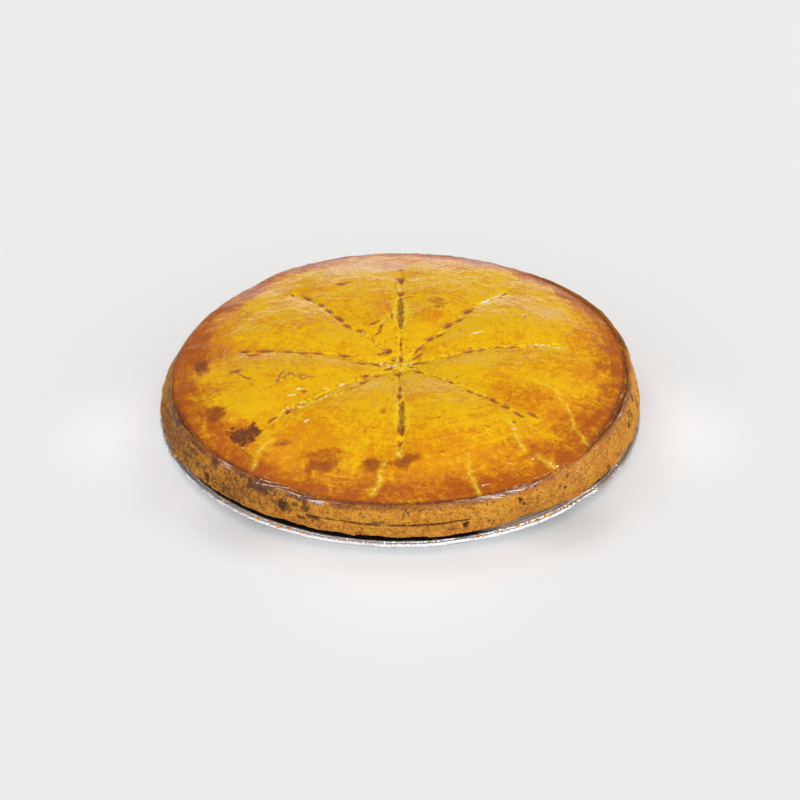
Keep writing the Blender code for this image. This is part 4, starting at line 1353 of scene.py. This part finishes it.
# Where the foil lies higher under the crust and gets a painted brown reflection of the crust in its
# shade: from, to and softness of the ends in degrees, and its inner and outer radius
SHELF_RUN = (288.0, 354.0, 7.0)
SHELF_RADII = (124.4 * MM, 127.2 * MM)
# Where the painted brown-grey reflection of the crust on the foil starts, in degrees
CRUST_REFLECTION_START = 318.0


def arc(centre, radius, start, end, count):
    """Points on an arc in the profile plane, angles in degrees."""
    turn = np.radians(np.linspace(start, end, count))
    return [(centre[0] + radius * math.cos(t), centre[1] + radius * math.sin(t)) for t in turn]


def spread(points, counts):
    """A profile with its straight stretches cut into so many parts each."""
    result = [points[0]]
    for (ax, az), (bx, bz), count in zip(points, points[1:], counts):
        shares = [i / count for i in range(1, count + 1)]
        result += [(ax + (bx - ax) * share, az + (bz - az) * share) for share in shares]
    return result


def tray_profile(tray):
    """The tray's section: floor, flared wall, flange and rolled bead."""
    rim = TRAY_HIGH[0]
    centre = (rim - tray.bead, tray.bead_height)
    top = tray.bead_height + 0.3 * MM
    flange_inner = rim - 2.0 * tray.bead - tray.flange
    outside = spread(
        [
            (0.0, 0.0),
            (0.7 * tray.floor_radius, 0.0),
            (tray.floor_radius, 0.0),
            (tray.floor_radius + 1.6 * MM, 0.5 * MM),
            (flange_inner + 1.0 * MM, top - tray.foil - 0.6 * MM),
        ],
        (1, 6, 2, 8),
    )
    bead = arc(centre, tray.bead, -135.0, 144.7, 14)
    ridge = arc((flange_inner + 2.0 * MM, top - 0.2 * MM), 1.1 * MM, 41.0, 150.0, 7)
    inside = spread(
        [
            (flange_inner + 0.2 * MM, top - 0.5 * MM),
            (tray.floor_radius + 0.7 * MM, tray.foil + 0.5 * MM),
            (tray.floor_radius - 0.6 * MM, tray.foil),
            (0.7 * tray.floor_radius, tray.foil),
            (0.0, tray.foil),
        ],
        (8, 2, 6, 1),
    )
    return outside + bead + ridge + inside


def make_tray(tray):
    """The shallow foil tray with a rolled, kinked rim."""
    radius, height, turn, rings = turned_profile(tray_profile(tray), TRAY_COLUMNS)
    degrees = np.degrees(turn)
    bent = smooth_step(tray.floor_radius + 2.0 * MM, TRAY_HIGH[0] - 2.0 * tray.bead, radius)
    dent = sum(depth * MM * lobe(degrees, place, 3.5) for place, depth in RIM_KINKS)
    on_rim = flat(TRAY_HIGH[0] * np.cos(turn), TRAY_HIGH[0] * np.sin(turn))
    creases = rough(on_rim, 9.0 * MM, 4, lift=4.0)
    pleats = np.abs(np.sin(turn * 90.0 + 1.5 * swell(on_rim, 30.0 * MM))) - 0.5
    on_wall = bell(radius - tray.floor_radius - 4.0 * MM, 3.2 * MM)
    radius = radius - bent * (dent + 0.22 * MM * np.maximum(creases, 0.0))
    radius = radius + on_wall * 0.22 * MM * pleats
    radius = np.minimum(radius, TRAY_HIGH[0])
    height = height - bent * 0.35 * dent + bent * 0.22 * MM * creases
    shelf_run = between(degrees, *SHELF_RUN)
    shelf = tray.bead_height - 0.7 * MM + 0.2 * MM * creases
    inside = np.arange(len(height)) > len(height) // 2
    on_shelf = inside & (radius > SHELF_RADII[0]) & (radius < SHELF_RADII[1])
    height = np.where(on_shelf, height + shelf_run * np.maximum(0.0, shelf - height), height)
    inner = inside * smooth_fall(128.2 * MM, 129.2 * MM, radius)
    covered = smooth_fall(-0.7 * MM, 0.3 * MM, height - tray.bead_height)
    masks = {
        "shade": shelf_run * inner,
        # Painted shadow in the gap under the crust, away from the shelf
        "gap": inner * (1.0 - shelf_run),
        # Painted shade on the foil at the left
        "left_shade": lobe(degrees, 205.0, 24.0),
        # Painted shade: the foil below the middle of the rolled rim is darker
        "under": (radius > 126.0 * MM) * covered,
    }
    # Painted reflection of the brown crust on the foil, from this direction onward
    onward = angle_between(degrees, CRUST_REFLECTION_START)
    crust_reflection = smooth_step(0.0, 6.0, onward) * smooth_fall(30.0, 75.0, onward)
    masks["crust_reflection"] = crust_reflection * (1.0 - 0.4 * lobe(degrees, 330.0, 3.0))
    points = np.stack((radius * np.cos(turn), radius * np.sin(turn), np.maximum(height, 0.0)), -1)
    return mesh_piece("foil_shell", points, ring_faces(rings[::-1]), creased_foil(tray), masks)


def creased_foil(tray):
    """Thin bright aluminium, soft creases, a little grease, painted shade and reflections."""
    recipe = Recipe("creased_foil")
    shade, gap = recipe.masks("shade", "gap")
    grease = recipe.swing(0.012, 3.0, 0.6)
    crease = recipe.cells(0.0045, "DISTANCE_TO_EDGE")
    fine = recipe.swing(0.0016, 2.0, 0.6)
    rolled = streaks(recipe, (0.0, 0.0), 6.0, 0.0009)
    # Greasy, creased streaks, and painted shade on the foil at the left
    dulled = grease * 0.3 + rolled * 0.45 + fine * 0.2 + recipe.mask("left_shade") * 0.7
    # Painted shade below the middle of the rolled rim
    under = (recipe.mask("under") + rolled * 0.2 + fine * 0.2).rise(0.1, 0.8)
    # Painted reflection of the brown crust
    crust_reflection = recipe.mask("crust_reflection") + grease * 0.2 + rolled * 0.15 + fine * 0.15
    crust_reflection = crust_reflection.rise(0.3, 0.8)
    colour = recipe.layers(
        tray.bright,
        (tray.dull_and_shaded, dulled.rise(-0.1, 0.9) * 0.85),
        # Painted reflection of the brown crust on the shaded shelf
        (tray.shelf_reflection, (shade + grease * 0.2 + fine * 0.15).rise(0.3, 0.8)),
        (tray.dull_and_shaded, under * 0.8),
        (tray.reflected_crust, crust_reflection * 0.9),
        # Painted shadow in the gap
        (tray.gap_shadow, gap),
    )
    recipe.feed("Base Color", colour)
    recipe.feed("Metallic", (0.75 - shade * 0.75 - gap * 0.75 - crust_reflection * 0.4).held())
    recipe.feed("Roughness", (0.30 + grease * 0.08 + shade * 0.2).held())
    folded = crease.rise(0.0, 0.12)
    recipe.emboss((folded, 0.00022), (rolled, 0.00005), (fine, 0.00003), strength=0.8)
    return recipe.material


# ---------------------------------------------------------------------------
# Crumbs
# ---------------------------------------------------------------------------

# Where crumbs lie thickest on the rim: direction in degrees, spread, share of them
CRUMB_DRIFTS = (
    (212, 10, 0.12), (241, 9, 0.22), (303, 10, 0.34), (320, 9, 0.17), (90, 100, 0.15),
)
CRUMB_SEED = 11
# Larger crumbs of their own: direction in degrees and half size in millimetres
CRUMB_SPOTS = (
    (242.5, 1.2), (245, 0.8), (205, 1), (214, 0.6), (236.5, 0.7), (226.5, 0.6), (292, 0.8),
    (294.5, 0.7), (297, 0.8), (300, 0.6), (304, 0.9), (307, 0.7), (309.5, 0.6),
)


def make_crumbs(crumb, tray):
    """Loose pastry crumbs on the tray's rim, as one joined mesh of small uneven lumps."""
    random = np.random.default_rng(CRUMB_SEED)
    template = bpy.data.meshes.new("crumb_template")
    bm = bmesh.new()
    bmesh.ops.create_icosphere(bm, subdivisions=2, radius=1.0)
    bm.to_mesh(template)
    bm.free()
    base = np.array([v.co[:] for v in template.vertices])
    corners = [tuple(p.vertices) for p in template.polygons]
    bpy.data.meshes.remove(template)
    points, faces, tones = [], [], []
    shares = np.array([share for _, _, share in CRUMB_DRIFTS])
    top = tray.bead_height + 0.3 * MM
    for number in range(crumb.count):
        place, breadth, _ = CRUMB_DRIFTS[random.choice(len(CRUMB_DRIFTS), p=shares / shares.sum())]
        degrees = place + breadth * random.normal()
        size = crumb.smallest + (crumb.largest - crumb.smallest) * random.random() ** 2.5
        if number < len(CRUMB_SPOTS):
            degrees, size = CRUMB_SPOTS[number][0], CRUMB_SPOTS[number][1] * MM
        inward = random.random() ** 1.6
        radius = TRAY_HIGH[0] - tray.bead * (0.5 + 2.2 * inward)
        lump = base * (size * (0.7 + 0.6 * random.random(3)))
        shift = Vector((size * 9000.0, degrees, 0.0))
        bumps = np.array([noise.noise(Vector(p) * 1.4 + shift) for p in base.tolist()])
        lump = lump * (1.0 + 0.45 * bumps)[:, None]
        angle = math.radians(degrees)
        lift = math.sqrt(max(0.0, tray.bead**2 - (radius - TRAY_HIGH[0] + tray.bead) ** 2))
        rest_on = max(top, tray.bead_height + lift) + 0.3 * size
        lump += np.array((radius * math.cos(angle), radius * math.sin(angle), rest_on))
        faces += [tuple(len(base) * len(tones) + i for i in corner) for corner in corners]
        points.append(lump)
        tones.append(np.full(len(base), random.random()))
    masks = {"tone": np.concatenate(tones)}
    return mesh_piece("rim_crumbs", np.concatenate(points), faces, loose_crumb(crumb), masks)


def loose_crumb(crumb):
    """Pale to brown crumbs."""
    recipe = Recipe("loose_crumb", Specular_IOR_Level=0.3)
    tone = recipe.mask("tone")
    sand = recipe.grain(0.0006, 2.0)
    browned = (tone + (sand - 0.5) * 0.5).held()
    recipe.feed("Base Color", recipe.paint(crumb.pale, crumb.brown, browned))
    recipe.feed("Roughness", (0.75 + (sand - 0.5) * 0.2).held())
    recipe.emboss((sand, 0.00015))
    return recipe.material


# ---------------------------------------------------------------------------
# Stage
# ---------------------------------------------------------------------------

Lamp = namedtuple("Lamp", "name towards strength spread glossy shadow")
# Where each lamp stands as seen from the pie, its strength, its width in degrees, if it shows in
# gloss and if it throws a shadow
LAMPS = (
    Lamp("key_lamp", (0.75, -0.45, 0.90), 1.20, 12.0, True, False),
    Lamp("left_lamp", (-0.74, 0.78, 1.0), 0.42, 26.0, False, True),
    Lamp("right_lamp", (0.74, 0.78, 1.0), 0.34, 26.0, False, True),
)
FLOOR_SIZE = 12.0
# Soft shade on the floor: where its middle lies in metres, its reach and its strength
FLOOR_SHADES = (((-0.074, -0.102), 0.043, 0.38), ((0.080, -0.098), 0.042, 0.50))
# Places where the floor is lighter, to make up for the shade beside the pie
FLOOR_LIGHTS = (
    ((-0.142, -0.025), 0.070, 0.7), ((0.142, -0.022), 0.070, 0.75), ((0.0, -0.142), 0.100, 0.35),
)
SENSOR_WIDTH = 36.0
# How far above the table the middle of the camera's circle lies, in metres
CAMERA_LIFT = 0.02


def light_all_round(stage):
    """A world that is bright low down and in front, and dim above the back of the pie."""
    world = bpy.data.worlds.new("surround")
    world.use_nodes = True
    recipe = Recipe(tree=world.node_tree)
    split = recipe.node("ShaderNodeSeparateXYZ", {}, {"Vector": recipe.place_as("Generated")}, "Y")
    upward = Signal(recipe, split.socket.node.outputs["Z"])
    low = 1.0 - upward.rise(0.04, 0.13)
    front = (split * -1.0).rise(-0.45, 0.25)
    strength = stage.dim + (low * stage.surround).larger(front * stage.front_glow)
    background = world.node_tree.nodes["Background"]
    recipe.join(strength, background.inputs["Strength"])
    recipe.join((1.0, 1.0, 1.0, 1.0), background.inputs["Color"])
    return world


def make_stage(stage):
    """Pale floor, soft light from all round, three lamps and the camera."""
    scene = bpy.context.scene
    scene.view_settings.view_transform = "Standard"
    half = FLOOR_SIZE / 2.0
    corners = [(-half, -half, 0.0), (half, -half, 0.0), (half, half, 0.0), (-half, half, 0.0)]
    recipe = Recipe("pale_floor", Roughness=0.9, Specular_IOR_Level=0.0)
    lighter, darker = recipe.spots(FLOOR_LIGHTS), recipe.spots(FLOOR_SHADES)
    lit = recipe.paint(stage.floor, stage.light_floor, lighter)
    recipe.feed("Base Color", recipe.paint(lit, stage.dark_floor, darker))
    mesh = bpy.data.meshes.new("floor")
    mesh.from_pydata(corners, [], [(0, 1, 2, 3)])
    mesh.materials.append(recipe.material)
    floor = bpy.data.objects.new("floor", mesh)
    scene.collection.objects.link(floor)
    scene.world = light_all_round(stage)
    for lamp in LAMPS:
        data = bpy.data.lights.new(lamp.name, "SUN")
        data.energy = lamp.strength
        data.angle = math.radians(lamp.spread)
        light = bpy.data.objects.new(lamp.name, data)
        light.rotation_euler = Vector(lamp.towards).to_track_quat("Z", "Y").to_euler()
        light.visible_glossy = lamp.glossy
        data.use_shadow = lamp.shadow
        scene.collection.objects.link(light)
    data = bpy.data.cameras.new("camera")
    data.lens = stage.lens
    data.sensor_width = SENSOR_WIDTH
    data.clip_start = 0.01
    camera = bpy.data.objects.new("camera", data)
    height = CAMERA_LIFT + stage.distance * math.sin(stage.elevation)
    camera.location = (0.0, -stage.distance * math.cos(stage.elevation), height)
    aim = Vector((0.0, 0.0, stage.aim_height))
    camera.rotation_euler = (aim - camera.location).to_track_quat("-Z", "Y").to_euler()
    scene.collection.objects.link(camera)
    scene.camera = camera


# ---------------------------------------------------------------------------
# Operators, panel and registration
# ---------------------------------------------------------------------------


class ApplePieLid(bpy.types.Operator):
    """Make the glazed, scored lid"""

    bl_idname = "apple_pie.make_lid"
    bl_label = "Make Lid"

    def execute(self, context):
        lid = make_lid(context.scene.apple_pie_lid)
        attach(lid, "root")
        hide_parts("pie")
        return {"FINISHED"}


class ApplePieWall(bpy.types.Operator):
    """Make the crumbly wall with its lip and foot"""

    bl_idname = "apple_pie.make_wall"
    bl_label = "Make Wall"

    def execute(self, context):
        wall = make_wall(context.scene.apple_pie_wall)
        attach(wall, "root")
        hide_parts("pie")
        return {"FINISHED"}


class ApplePieTray(bpy.types.Operator):
    """Make the creased foil tray"""

    bl_idname = "apple_pie.make_tray"
    bl_label = "Make Tray"

    def execute(self, context):
        tray = make_tray(context.scene.apple_pie_tray)
        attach(tray, "root")
        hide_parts("foil_tray")
        return {"FINISHED"}


class ApplePieCrumbs(bpy.types.Operator):
    """Scatter crumbs on the tray's rim"""

    bl_idname = "apple_pie.make_crumbs"
    bl_label = "Make Crumbs"

    def execute(self, context):
        crumbs = make_crumbs(context.scene.apple_pie_crumbs, context.scene.apple_pie_tray)
        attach(crumbs, "root")
        return {"FINISHED"}


class ApplePieStage(bpy.types.Operator):
    """Set up the floor, the light and the camera"""

    bl_idname = "apple_pie.set_stage"
    bl_label = "Set Stage"

    def execute(self, context):
        make_stage(context.scene.apple_pie_stage)
        return {"FINISHED"}


OPERATORS = (ApplePieLid, ApplePieWall, ApplePieTray, ApplePieCrumbs, ApplePieStage)


class VIEW3D_PT_apple_pie(bpy.types.Panel):
    """The apple pie's steps, in order"""

    bl_label = "Apple Pie"
    bl_space_type = "VIEW_3D"
    bl_region_type = "UI"
    bl_category = "Apple Pie"

    def draw(self, context):
        for operator in OPERATORS:
            self.layout.operator(operator.bl_idname)


SETTINGS = {
    "apple_pie_lid": LidSettings,
    "apple_pie_wall": WallSettings,
    "apple_pie_tray": TraySettings,
    "apple_pie_crumbs": CrumbSettings,
    "apple_pie_stage": StageSettings,
}


def register():
    """Add the settings, operators and panel."""
    for name, group in SETTINGS.items():
        bpy.utils.register_class(group)
        setattr(bpy.types.Scene, name, PointerProperty(type=group))
    for operator in OPERATORS:
        bpy.utils.register_class(operator)
    bpy.utils.register_class(VIEW3D_PT_apple_pie)


def unregister():
    """Take the settings, operators and panel away again."""
    bpy.utils.unregister_class(VIEW3D_PT_apple_pie)
    for operator in reversed(OPERATORS):
        bpy.utils.unregister_class(operator)
    for name, group in SETTINGS.items():
        delattr(bpy.types.Scene, name)
        bpy.utils.unregister_class(group)


def main():
    """Make every piece and the stage."""
    register()
    bpy.ops.apple_pie.make_lid()
    bpy.ops.apple_pie.make_wall()
    bpy.ops.apple_pie.make_tray()
    bpy.ops.apple_pie.make_crumbs()
    bpy.ops.apple_pie.set_stage()


if __name__ == "__main__":
    main()
